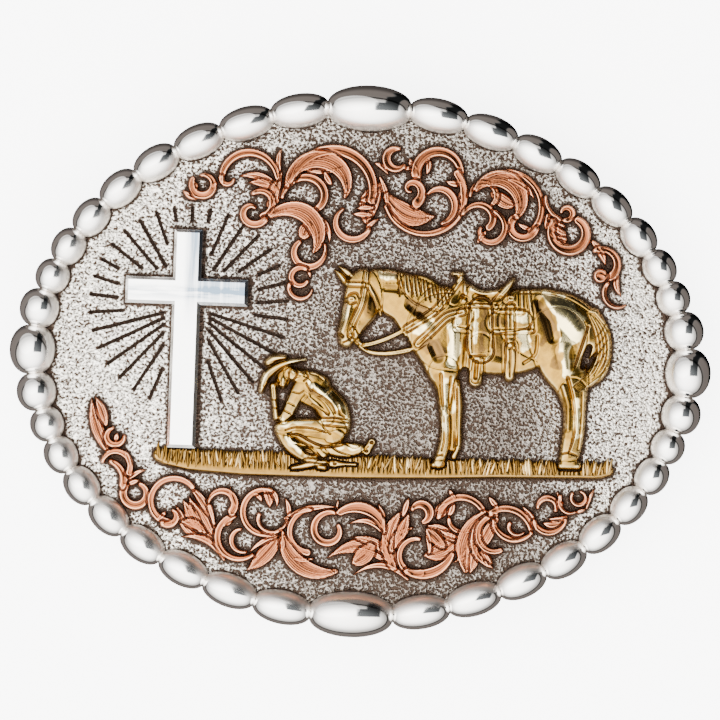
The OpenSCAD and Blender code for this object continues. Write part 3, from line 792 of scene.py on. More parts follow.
@dataclass(frozen=True)
class BrushedCross:
    """Mirror silver with brushed marks, and painted cool reflections in streaks along the upper shaft and
    the right arm.
    """

    name: str = "cross_silver"
    bright: Colour = (0.95, 0.95, 0.94, 1)
    # Blue of the painted reflections
    reflection_blue: Colour = (0.13, 0.18, 0.24, 1)
    shaft_side: tuple[float, float] = (-0.0262, -0.0246)
    shaft_rise: tuple[float, float] = (0.0030, 0.0120)
    band_low: tuple[float, float] = (0.0074, 0.0092)
    band_high: tuple[float, float] = (0.0092, 0.0104)
    mark_depth: float = 0.000006

    def material(self) -> bpy.types.Material:
        """Builds the material, painting cool reflections by the place on the cross.

        Returns:
            The material.
        """
        g = Finish(self.name)
        x, y, _ = g.split(g.place)
        long, cross = g.noise(1500, 3, (1, 0.05, 1)), g.noise(1500, 3, (0.05, 1, 1))
        shaft = x.ramp(*self.shaft_side) * y.ramp(*self.shaft_rise)
        band = y.ramp(*self.band_low) * (1.0 - y.ramp(*self.band_high))
        # Painted cool reflections, streaked along the brushing
        painted_reflection = shaft * (long.ramp(0.25, 0.6) * 0.7 + 0.25) + band * cross.ramp(0.35, 0.62) * 0.6
        colour = g.mix(painted_reflection.clamped(), self.bright, self.reflection_blue)
        marks = g.bump(long + cross, self.mark_depth)
        return g.finish(Base_Color=colour, Roughness=0.12 + long * 0.06, Metallic=1.0, Normal=marks)


GOLD = CastMetal(
    "polished_gold",
    bright=(0.32, 0.175, 0.026, 1),
    deep=(0.15, 0.080, 0.016, 1),
    dark=(0.125, 0.068, 0.022, 1),
    painted_highlight_colour=(1.0, 0.82, 0.40, 1),
    rough=0.17,
)
GRASS_GOLD = CastMetal(
    "grass_gold",
    bright=(0.20, 0.105, 0.019, 1),
    deep=(0.10, 0.052, 0.011, 1),
    dark=(0.080, 0.043, 0.014, 1),
    painted_highlight_colour=(0.95, 0.68, 0.30, 1),
    rough=0.22,
)
COPPER = CastMetal(
    "antiqued_copper",
    bright=(0.33, 0.102, 0.038, 1),
    deep=(0.18, 0.056, 0.023, 1),
    dark=(0.110, 0.050, 0.030, 1),
    painted_highlight_colour=(0.86, 0.41, 0.23, 1),
    rough=0.22,
)


def dress(obj: bpy.types.Object, material: bpy.types.Material) -> None:
    """Gives an object one material on all its faces.

    Args:
        obj: The object.
        material: The material.
    """
    if obj.data.materials:
        for k in range(len(obj.data.materials)):
            obj.data.materials[k] = material
    else:
        obj.data.materials.append(material)


def seat(obj: bpy.types.Object, slot: str, *nodes: str) -> None:
    """Makes a piece ride on the buckle in place of CAD nodes.

    Args:
        obj: The piece.
        slot: Its material slot, which is not used.
        nodes: The nodes that it replaces, if any.
    """
    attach(obj, "root")
    if nodes:
        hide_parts(*nodes)
    LOG.info("%s: %d faces", obj.name, len(obj.data.polygons))


def cast(relief: Relief, node: str, metal: CastMetal, slot: str) -> None:
    """Casts a relief in a metal and seats it in place of a node.

    Args:
        relief: The relief.
        node: The CAD node.
        metal: What it is cast in.
        slot: Its slot.
    """
    obj = relief.piece(node + "_cast")
    dress(obj, metal.material())
    seat(obj, slot, node)


class Curl(NamedTuple):
    """A curl that winds round its eye, in millimetres and degrees."""

    eye_x: float
    eye_y: float
    first_angle: float
    first_radius: float
    last_angle: float
    last_radius: float
    first_width: float
    middle_width: float
    last_width: float


class Leaf(NamedTuple):
    """A leaf from its root to its point, bowed by a share of its length, in millimetres."""

    root_x: float
    root_y: float
    point_x: float
    point_y: float
    bow: float
    width: float


# The rows are those of Curl and Leaf
UPPER_CURLS = [
    [-23.6, 24.7, 105, 1.35, -205, 1.7, 0.7, 1.4, 1.0], [-17.2, 25.55, 184, 3.7, 8, 4.3, 1.1, 1.4, 1.0],
    [-20.1, 25.8, 180, 0.95, 345, 0.9, 1.1, 1.0, 0.7], [-15.3, 22.3, 125, 1.7, -75, 1.9, 1.0, 1.2, 1.3],
    [-16.4, 21.0, -30, 2.2, -300, 0.75, 1.3, 1.3, 0.8], [-8.3, 23.3, 180, 3.8, -60, 1.9, 0.9, 1.5, 1.2],
    [-4.6, 24.4, 168, 6.3, -12, 5.5, 1.2, 1.9, 1.4], [-6.5, 24.6, 172, 5.0, -15, 3.6, 1.2, 3.0, 0.7],
    [-1.9, 20.1, -25, 2.7, -232, 2.25, 1.0, 1.3, 0.7], [4.2, 29.4, 78, 1.5, 318, 1.45, 0.8, 1.6, 0.8],
    [10.3, 27.5, 185, 3.2, 0, 3.2, 1.8, 1.7, 1.2], [6.4, 25.1, -65, 2.2, 270, 0.35, 1.8, 1.1, 0.6],
    [8.8, 24.6, 200, 6.3, 395, 5.2, 0.9, 1.2, 1.4], [10.3, 23.2, -75, 3.0, 135, 1.9, 0.8, 1.4, 0.7],
    [20.4, 22.8, 150, 5.6, -45, 4.8, 0.9, 1.1, 1.2], [22.5, 20.6, -15, 2.3, -230, 1.3, 1.2, 1.5, 1.4],
    [17.1, 24.5, 180, 2.1, -45, 1.6, 0.8, 1.1, 0.9], [19.0, 23.6, 150, 3.6, -30, 3.4, 1.0, 3.0, 1.2],
    [16.7, 21.0, 162, 2.7, -40, 1.5, 0.8, 1.3, 1.3], [17.9, 19.6, 75, 2.8, -190, 1.25, 0.9, 1.2, 0.8],
    [29.3, 24.9, 183, 3.4, 262, 3.5, 0.7, 0.8, 0.9], [29.0, 22.5, -95, 1.05, 170, 0.7, 1.0, 1.1, 0.7],
    [29.7, 19.7, 150, 3.0, 420, 2.1, 1.2, 1.8, 1.4], [34.6, 15.0, 118, 2.6, -105, 1.6, 1.0, 1.4, 1.5],
    [34.3, 13.6, 0, 0.4, 300, 0.35, 1.5, 1.6, 1.5], [37.0, 11.1, 140, 2.2, 300, 1.9, 0.9, 0.9, 0.5],
    [-10.4, 17.3, 134, 4.6, -28, 3.6, 1.2, 3.0, 0.8], [-8.2, 15.6, 22, 2.7, -225, 1.75, 0.7, 1.3, 1.0],
    [-9.1, 11.8, 60, 1.4, 330, 1.15, 0.9, 1.1, 0.8], [-8.9, 10.4, 170, 1.75, 350, 1.6, 0.9, 0.9, 0.5],
]
UPPER_LEAVES = [
    [-24.3, 22.7, -26.5, 23.8, 0.10, 1.1], [-24.6, 23.4, -25.4, 25.6, -0.10, 0.9],
    [-22.6, 24.2, -21.2, 25.3, 0.0, 0.7], [-12.6, 24.0, -18.5, 26.1, -0.16, 1.6],
    [-12.8, 24.2, -17.2, 25.2, -0.10, 1.5], [-12.6, 26.6, -12.4, 30.4, 0.10, 1.1],
    [-13.8, 20.4, -12.2, 27.2, 0.03, 1.9], [-9.6, 27.6, -2.9, 28.3, -0.12, 0.9],
    [-6.0, 26.9, -4.9, 25.3, -0.1, 1.2], [1.9, 25.4, 0.3, 19.4, -0.12, 3.0],
    [1.2, 23.4, -0.9, 23.2, 0.0, 0.9], [1.0, 22.3, -1.4, 22.0, 0.0, 1.0], [0.8, 21.2, -2.0, 21.2, 0.0, 1.0],
    [0.0, 18.6, 2.1, 20.7, 0.1, 0.9], [1.2, 28.6, 3.1, 27.0, 0.12, 0.9], [1.9, 26.6, 2.9, 21.0, 0.10, 1.0],
    [6.2, 29.2, 7.9, 25.2, 0.0, 1.6], [8.6, 29.9, 8.5, 27.2, 0.12, 1.1],
    [3.1, 23.8, 10.3, 21.4, -0.18, 3.3], [14.0, 26.4, 11.3, 26.5, 0.12, 1.2],
    [13.4, 21.4, 13.3, 27.4, -0.12, 1.6], [5.0, 28.2, 6.6, 28.0, 0.0, 0.8],
    [20.5, 27.0, 24.3, 24.3, 0.12, 1.3], [18.4, 25.0, 21.8, 23.3, -0.1, 2.2],
    [24.2, 20.0, 21.9, 20.9, 0.1, 0.9], [16.4, 17.9, 17.5, 19.6, 0.0, 1.1],
    [26.4, 21.9, 29.3, 17.8, -0.05, 2.7], [26.6, 21.6, 29.1, 20.4, 0.0, 1.0],
    [26.8, 20.6, 29.3, 19.2, 0.0, 1.1], [27.3, 18.6, 30.5, 17.9, -0.12, 1.0],
    [32.9, 18.5, 34.9, 15.0, 0.1, 1.3], [36.8, 14.1, 37.4, 10.8, -0.16, 1.1],
    [-6.8, 20.8, -5.1, 16.8, 0.14, 1.0], [-8.2, 19.6, -9.0, 17.3, 0.0, 2.2],
    [-8.9, 13.4, -7.7, 11.6, 0.2, 0.8],
]
LOWER_CURLS = [
    [-35.0, -12.1, 110, 1.2, 360, 1.3, 0.8, 1.2, 0.8], [-31.7, -20.3, 150, 1.9, 425, 1.5, 1.4, 1.5, 0.9],
    [-36.2, -18.6, 75, 2.9, -12, 2.6, 1.0, 1.3, 1.3], [-34.9, -16.3, 165, 1.85, -25, 2.3, 0.8, 1.1, 1.2],
    [-26.3, -21.3, 40, 3.6, 262, 3.0, 1.1, 1.1, 1.4], [-26.7, -23.2, 235, 1.6, 410, 0.8, 1.2, 1.2, 0.8],
    [-16.5, -26.0, 108, 3.2, 308, 3.2, 1.2, 1.2, 0.8], [-16.0, -26.3, 105, 1.5, 285, 1.9, 0.7, 1.0, 0.6],
    [-19.1, -21.3, 168, 2.0, -35, 1.7, 0.8, 1.3, 1.5], [-12.9, -22.1, 78, 3.1, 342, 3.5, 0.9, 1.2, 0.7],
    [-12.3, -22.9, 170, 1.5, 348, 2.8, 0.9, 0.8, 0.5], [-6.2, -25.0, 95, 3.3, 262, 2.9, 0.9, 1.1, 1.3],
    [-3.6, -24.5, 68, 2.7, 385, 1.5, 0.9, 1.4, 0.9], [-4.5, -24.6, 184, 5.8, 290, 6.2, 0.7, 2.8, 0.9],
    [0.6, -25.2, 12, 3.9, 128, 4.3, 0.7, 2.0, 1.3], [9.2, -27.7, 85, 2.4, 285, 2.65, 0.9, 1.1, 1.5],
    [9.6, -25.5, 250, 4.9, 338, 5.1, 1.3, 1.8, 0.9], [9.5, -21.6, 155, 1.3, -65, 1.3, 0.9, 1.7, 1.0],
    [15.2, -22.4, 172, 3.0, 25, 3.6, 1.0, 1.3, 1.2], [15.2, -21.9, 195, 1.6, 350, 2.8, 0.9, 1.0, 0.8],
    [22.4, -26.8, 112, 6.3, 205, 6.7, 1.0, 2.6, 1.0], [21.3, -25.3, 100, 4.1, 252, 3.9, 0.8, 1.3, 0.6],
    [20.5, -24.5, 105, 2.9, 290, 2.2, 0.9, 1.1, 1.0], [21.8, -24.2, 125, 3.7, 8, 3.8, 1.1, 1.3, 0.9],
    [27.9, -21.4, 205, 2.1, 352, 2.7, 1.0, 1.1, 0.6], [23.2, -21.7, 190, 3.2, 318, 3.3, 0.8, 1.2, 0.7],
    [23.4, -22.9, 165, 1.0, 320, 1.5, 0.9, 0.8, 0.5], [27.9, -20.1, 182, 1.5, -20, 1.2, 0.8, 1.2, 0.8],
    [31.3, -19.4, 150, 1.9, 292, 1.35, 0.8, 0.8, 0.5], [32.35, -18.55, 150, 1.15, 435, 0.85, 0.7, 0.9, 0.6],
]
LOWER_LEAVES = [
    [-36.0, -14.2, -38.6, -6.6, 0.06, 2.0], [-36.4, -10.4, -38.1, -6.5, -0.04, 1.6],
    [-34.9, -12.9, -34.7, -11.6, 0.0, 1.0], [-33.2, -18.8, -30.3, -16.8, 0.12, 1.0],
    [-33.0, -19.2, -30.9, -18.4, 0.1, 0.9], [-33.4, -14.2, -32.5, -16.9, 0.02, 1.1],
    [-20.2, -25.6, -24.6, -18.4, -0.10, 1.7], [-20.2, -27.2, -24.0, -20.3, 0.04, 2.7],
    [-20.4, -26.8, -25.9, -21.7, 0.10, 2.4], [-22.2, -25.2, -24.9, -20.8, 0.0, 1.8],
    [-21.6, -25.4, -25.1, -24.0, -0.1, 1.6], [-28.4, -24.0, -27.2, -22.7, 0.0, 1.0],
    [-18.6, -29.3, -25.0, -26.3, -0.18, 1.2], [-17.1, -21.6, -18.0, -18.7, 0.12, 0.9],
    [-20.2, -24.2, -21.4, -20.2, 0.0, 0.9], [-18.9, -24.4, -17.2, -22.7, 0.0, 1.3],
    [-13.3, -18.9, -12.4, -21.7, 0.16, 1.5], [-12.6, -18.7, -11.3, -21.6, 0.18, 0.9],
    [-14.8, -19.6, -13.4, -20.9, 0.16, 0.9], [-10.8, -25.6, -15.4, -30.9, 0.05, 2.5],
    [-10.9, -25.5, -15.1, -28.3, -0.08, 0.9], [-9.6, -23.1, -10.2, -20.0, -0.12, 1.0],
    [-10.0, -23.1, -2.2, -21.2, 0.09, 1.1], [-10.3, -25.6, -10.6, -28.5, 0.1, 0.9],
    [-8.5, -28.8, -5.5, -28.6, -0.1, 0.9], [-2.6, -21.5, -2.4, -19.9, 0.0, 0.5],
    [4.5, -25.0, -0.8, -23.5, -0.22, 1.1], [4.3, -24.0, 3.3, -20.3, -0.06, 1.0],
    [6.4, -29.6, -3.8, -28.6, -0.24, 2.6], [6.0, -28.8, -0.4, -25.4, -0.14, 1.6],
    [2.6, -26.6, -0.3, -29.2, 0.1, 2.6], [5.6, -28.6, 3.9, -24.8, -0.05, 1.3],
    [8.0, -31.2, 0.1, -30.9, -0.22, 1.1], [5.9, -29.4, 6.9, -21.1, 0.14, 2.7],
    [5.6, -27.0, 8.7, -23.6, 0.14, 1.7], [6.3, -26.5, 7.9, -21.4, 0.0, 1.8],
    [7.0, -22.0, 7.8, -19.3, 0.0, 1.1], [15.0, -25.0, 10.0, -27.7, 0.10, 3.0],
    [14.6, -25.2, 10.2, -23.4, -0.10, 1.7], [11.0, -27.2, 10.2, -23.5, -0.06, 1.0],
    [13.0, -26.2, 10.3, -23.6, 0.0, 1.8], [15.6, -24.8, 12.1, -23.8, 0.06, 0.8],
    [13.6, -20.0, 11.9, -22.6, -0.1, 2.0], [14.2, -19.8, 13.3, -22.1, 0.1, 1.1],
    [14.6, -19.4, 13.5, -17.9, 0.06, 0.9], [20.3, -20.6, 14.4, -28.6, 0.12, 2.6],
    [17.4, -25.4, 16.9, -30.2, 0.05, 2.0], [18.6, -26.8, 20.0, -29.3, 0.0, 1.7],
    [20.7, -20.5, 19.2, -18.8, 0.0, 1.1], [26.3, -23.3, 24.1, -20.0, -0.06, 1.2],
    [30.6, -21.4, 27.9, -21.7, 0.12, 1.2], [29.8, -22.3, 27.1, -22.3, 0.12, 1.2],
    [29.2, -18.0, 30.2, -20.2, 0.0, 0.8], [31.7, -20.7, 33.7, -19.9, -0.05, 0.6],
    [33.5, -20.0, 34.6, -17.1, 0.06, 0.7],
]


@dataclass
class Scroll:
    """Cast scrollwork, from rows of numbers for its curls and its leaves."""

    name: str
    curls: Sequence[Row]
    leaves: Sequence[Row]
    low: tuple[float, float]
    high: tuple[float, float]
    rise: float = 1.0
    leaf_share: float = 0.88
    rounding: float = 0.34
    crease: float = 0.35
    rib_pitch: float = 0.62
    vein_pitch: float = 0.60
    line_depth: float = 0.20
    step: float = 0.105

    def curl_axis(self, curl: Curl) -> np.ndarray:
        """Works out the middle line of a curl.

        Args:
            curl: Its sizes.

        Returns:
            Rows of x, y and width along it.
        """
        swing = curl.last_angle - curl.first_angle
        t = np.linspace(0, 1, max(6, int(abs(swing) / 8)) + 1)
        angle = np.radians(curl.first_angle + swing * t)
        radius = curl.first_radius * (curl.last_radius / curl.first_radius) ** t
        swell = curl.middle_width - (curl.first_width + curl.last_width) / 2
        width = curl.first_width + (curl.last_width - curl.first_width) * t + swell * np.sin(np.pi * t)
        return np.stack([curl.eye_x + radius * np.cos(angle), curl.eye_y + radius * np.sin(angle), width], 1)

    def leaf_axis(self, leaf: Leaf) -> np.ndarray:
        """Works out the middle line of a leaf.

        Args:
            leaf: Its sizes.

        Returns:
            Rows of x, y and width along it.
        """
        t = np.linspace(0, 1, 15)[:, None]
        root = np.array([leaf.root_x, leaf.root_y])
        run = np.array([leaf.point_x, leaf.point_y]) - root
        left = np.array([-run[1], run[0]])
        axis = root + run * t + left * leaf.bow * 4 * t * (1 - t)
        width = leaf.width * (0.45 * (1 - t) + 0.75 * np.sin(np.pi * t)) + 0.12
        return np.hstack([axis, width])

    def lay_curl(self, relief: Relief, curl: Curl) -> None:
        """Lays a curl: hollowed along its side, with a ridge and, where it is broad, with ribs.

        Args:
            relief: What it is laid on.
            curl: Its sizes.
        """
        size = curl.middle_width
        c = relief.chart(self.curl_axis(curl))
        body = relief.wall(c, self.rise, self.rounding)
        inside = soft(c.edge, 0.0, 0.12)
        hollow = soft(np.abs(c.side - 0.12), 0.62, 0.15) * soft(c.run / c.length, 0.0, 0.12)
        body -= inside * 0.24 * hollow * min(1.0, size / 1.6)
        if size > 1.15:
            body += inside * 0.14 * bell(c.side + 0.10, 0.12)
        if size > 2:
            ribs = waves(c.side * size / self.rib_pitch + 0.1 * np.sin(c.run))
            body -= inside * self.line_depth * ribs * soft(np.abs(c.side), 0.84, 0.66)
        relief.lay(c, body, self.crease)

    def lay_leaf(self, relief: Relief, leaf: Leaf) -> None:
        """Lays a leaf: crowned, with a groove along its middle and, where it is broad, with veins.

        Args:
            relief: What it is laid on.
            leaf: Its sizes.
        """
        c = relief.chart(self.leaf_axis(leaf))
        body = relief.wall(c, self.rise * self.leaf_share, self.rounding)
        inside = soft(c.edge, 0.0, 0.12)
        body += inside * 0.14 * np.clip(1 - c.side**2, 0, 1)
        body -= inside * 0.20 * bell(c.side, 0.14) * soft(c.run / c.length, 1.0, 0.75)
        if leaf.width > 1.4:
            veins = waves(c.side * leaf.width / self.vein_pitch + 0.35 * c.run / c.length)
            body -= inside * self.line_depth * veins * soft(np.abs(c.side), 0.88, 0.66)
        relief.lay(c, body, self.crease)

    def make(self) -> Relief:
        """Builds and seats the scroll, leaves first.

        Returns:
            Its relief.
        """
        # Strong polish and painted highlight on the scroll's ridges, painted shade in its valleys
        relief = Relief(self.low, self.high, self.step, ridge_polish_and_highlight=0.85, ridge_shade_bias=0.5)
        for row in self.leaves:
            self.lay_leaf(relief, Leaf(*row))
        for row in self.curls:
            self.lay_curl(relief, Curl(*row))
        cast(relief, self.name, COPPER, "copper")
        return relief


# The touches by their bare names, a form's rise and rows, and a stroke's touch, amount and rows
SWELL, HOLLOW, STRAP, GROOVE, GAP, PAINTED_DARK_REFLECTION, PAINTED_HIGHLIGHT = Touch
Form = tuple[float, Sequence[Row]]
Stroke = tuple[Touch, float, Sequence[Row]]

HORSE_FORMS = [
    # tail
    (0.8, [[33.4, 7.8, 2.6], [34.8, 5.2, 2.6], [35.1, 2.4, 2.5], [34.4, -0.1, 2.8], [32.8, -1.6, 2.4],
        [31.6, -2.4, 2.2]]),
    # far front leg
    (0.45, [[14.0, -2.4, 1.2], [14.4, -5.6, 1.5], [14.4, -8.8, 1.4], [14.6, -11.4, 1.2],
        [14.0, -13.2, 1.2]]),
    (0.15, [[13.3, -1.6, 1.8], [13.6, -5.8, 1.1], [13.5, -9.0, 1.2], [13.6, -12.0, 1.2]]),
    # ears, the far one first
    (0.4, [[-2.2, 11.0, 1.2], [-3.2, 12.2, 1.1], [-4.1, 13.0, 0.4]]),
    (0.6, [[-1.2, 12.0, 1.1], [-2.4, 12.8, 1.1], [-3.6, 13.6, 0.4]]),
    # neck and crest
    (1.0, [[1.8, 11.2, 4.6], [4.0, 10.2, 6.6], [7.0, 8.9, 7.6], [10.0, 6.4, 9.4], [12.0, 3.6, 8.4]]),
    # head and poll
    (1.1, [[0.1, 12.2, 2.8], [0.0, 10.6, 5.2], [0.0, 8.4, 5.6], [-1.0, 6.0, 4.4], [-1.7, 4.3, 3.6],
        [-2.1, 3.0, 2.5]]),
    # chest and shoulder, barrel, haunch
    (1.2, [[11.5, 8.0, 7.0], [11.2, 4.0, 8.0], [11.6, 1.6, 6.6], [12.0, -0.8, 5.0]]),
    (1.2, [[12.0, 4.8, 11.0], [17.0, 4.6, 11.6], [22.0, 5.1, 12.4], [26.5, 6.4, 10.4]]),
    (1.25, [[24.5, 6.6, 9.4], [28.4, 5.8, 10.8], [31.4, 5.2, 8.0]]),
    (1.2, [[28.4, 4.6, 8.6], [29.0, 1.2, 7.2], [30.4, -1.6, 5.6], [31.0, -4.0, 4.2]]),
    # hind and near front legs
    (0.9, [[30.8, -3.4, 4.2], [31.2, -6.0, 3.5], [31.2, -9.0, 3.4], [30.9, -11.4, 3.3],
        [30.6, -13.2, 3.0]]),
    (0.7, [[29.5, -14.0, 1.3], [31.9, -13.9, 1.5]]),
    (0.9, [[12.1, -1.0, 4.6], [12.3, -3.4, 2.9], [12.5, -6.6, 2.0], [12.7, -9.6, 1.8], [12.5, -12.0, 2.0],
        [11.8, -14.2, 2.0]]),
    (0.6, [[11.1, -14.5, 1.2], [12.3, -14.4, 1.3]]),
    # saddle: seat, swell and horn
    (0.9, [[14.6, 11.2, 2.2], [17.0, 9.8, 2.6], [19.6, 10.2, 2.2], [21.7, 12.5, 0.9]]),
    (0.8, [[13.2, 9.4, 1.8], [14.1, 11.4, 1.9], [13.9, 12.9, 1.4]]),
    (0.8, [[13.0, 13.1, 1.0], [14.2, 13.1, 1.1]]),
    # stirrup and cinch
    (0.7, [[17.2, 3.0, 3.4], [16.8, 1.0, 2.0], [16.7, -2.2, 2.2]]),
    (0.6, [[21.6, 3.0, 2.4], [21.6, -1.2, 2.0]]),
    # reins
    (0.35, [[-0.2, 2.2, 0.7], [1.4, 1.4, 0.8], [4.0, 1.3, 0.9], [7.2, 2.0, 1.0], [9.6, 3.6, 1.0]]),
    (0.35, [[-1.4, 3.6, 0.9], [0.2, 2.4, 0.9], [3.2, 3.2, 0.9], [6.6, 5.0, 0.9], [10.4, 7.6, 1.0]]),
]

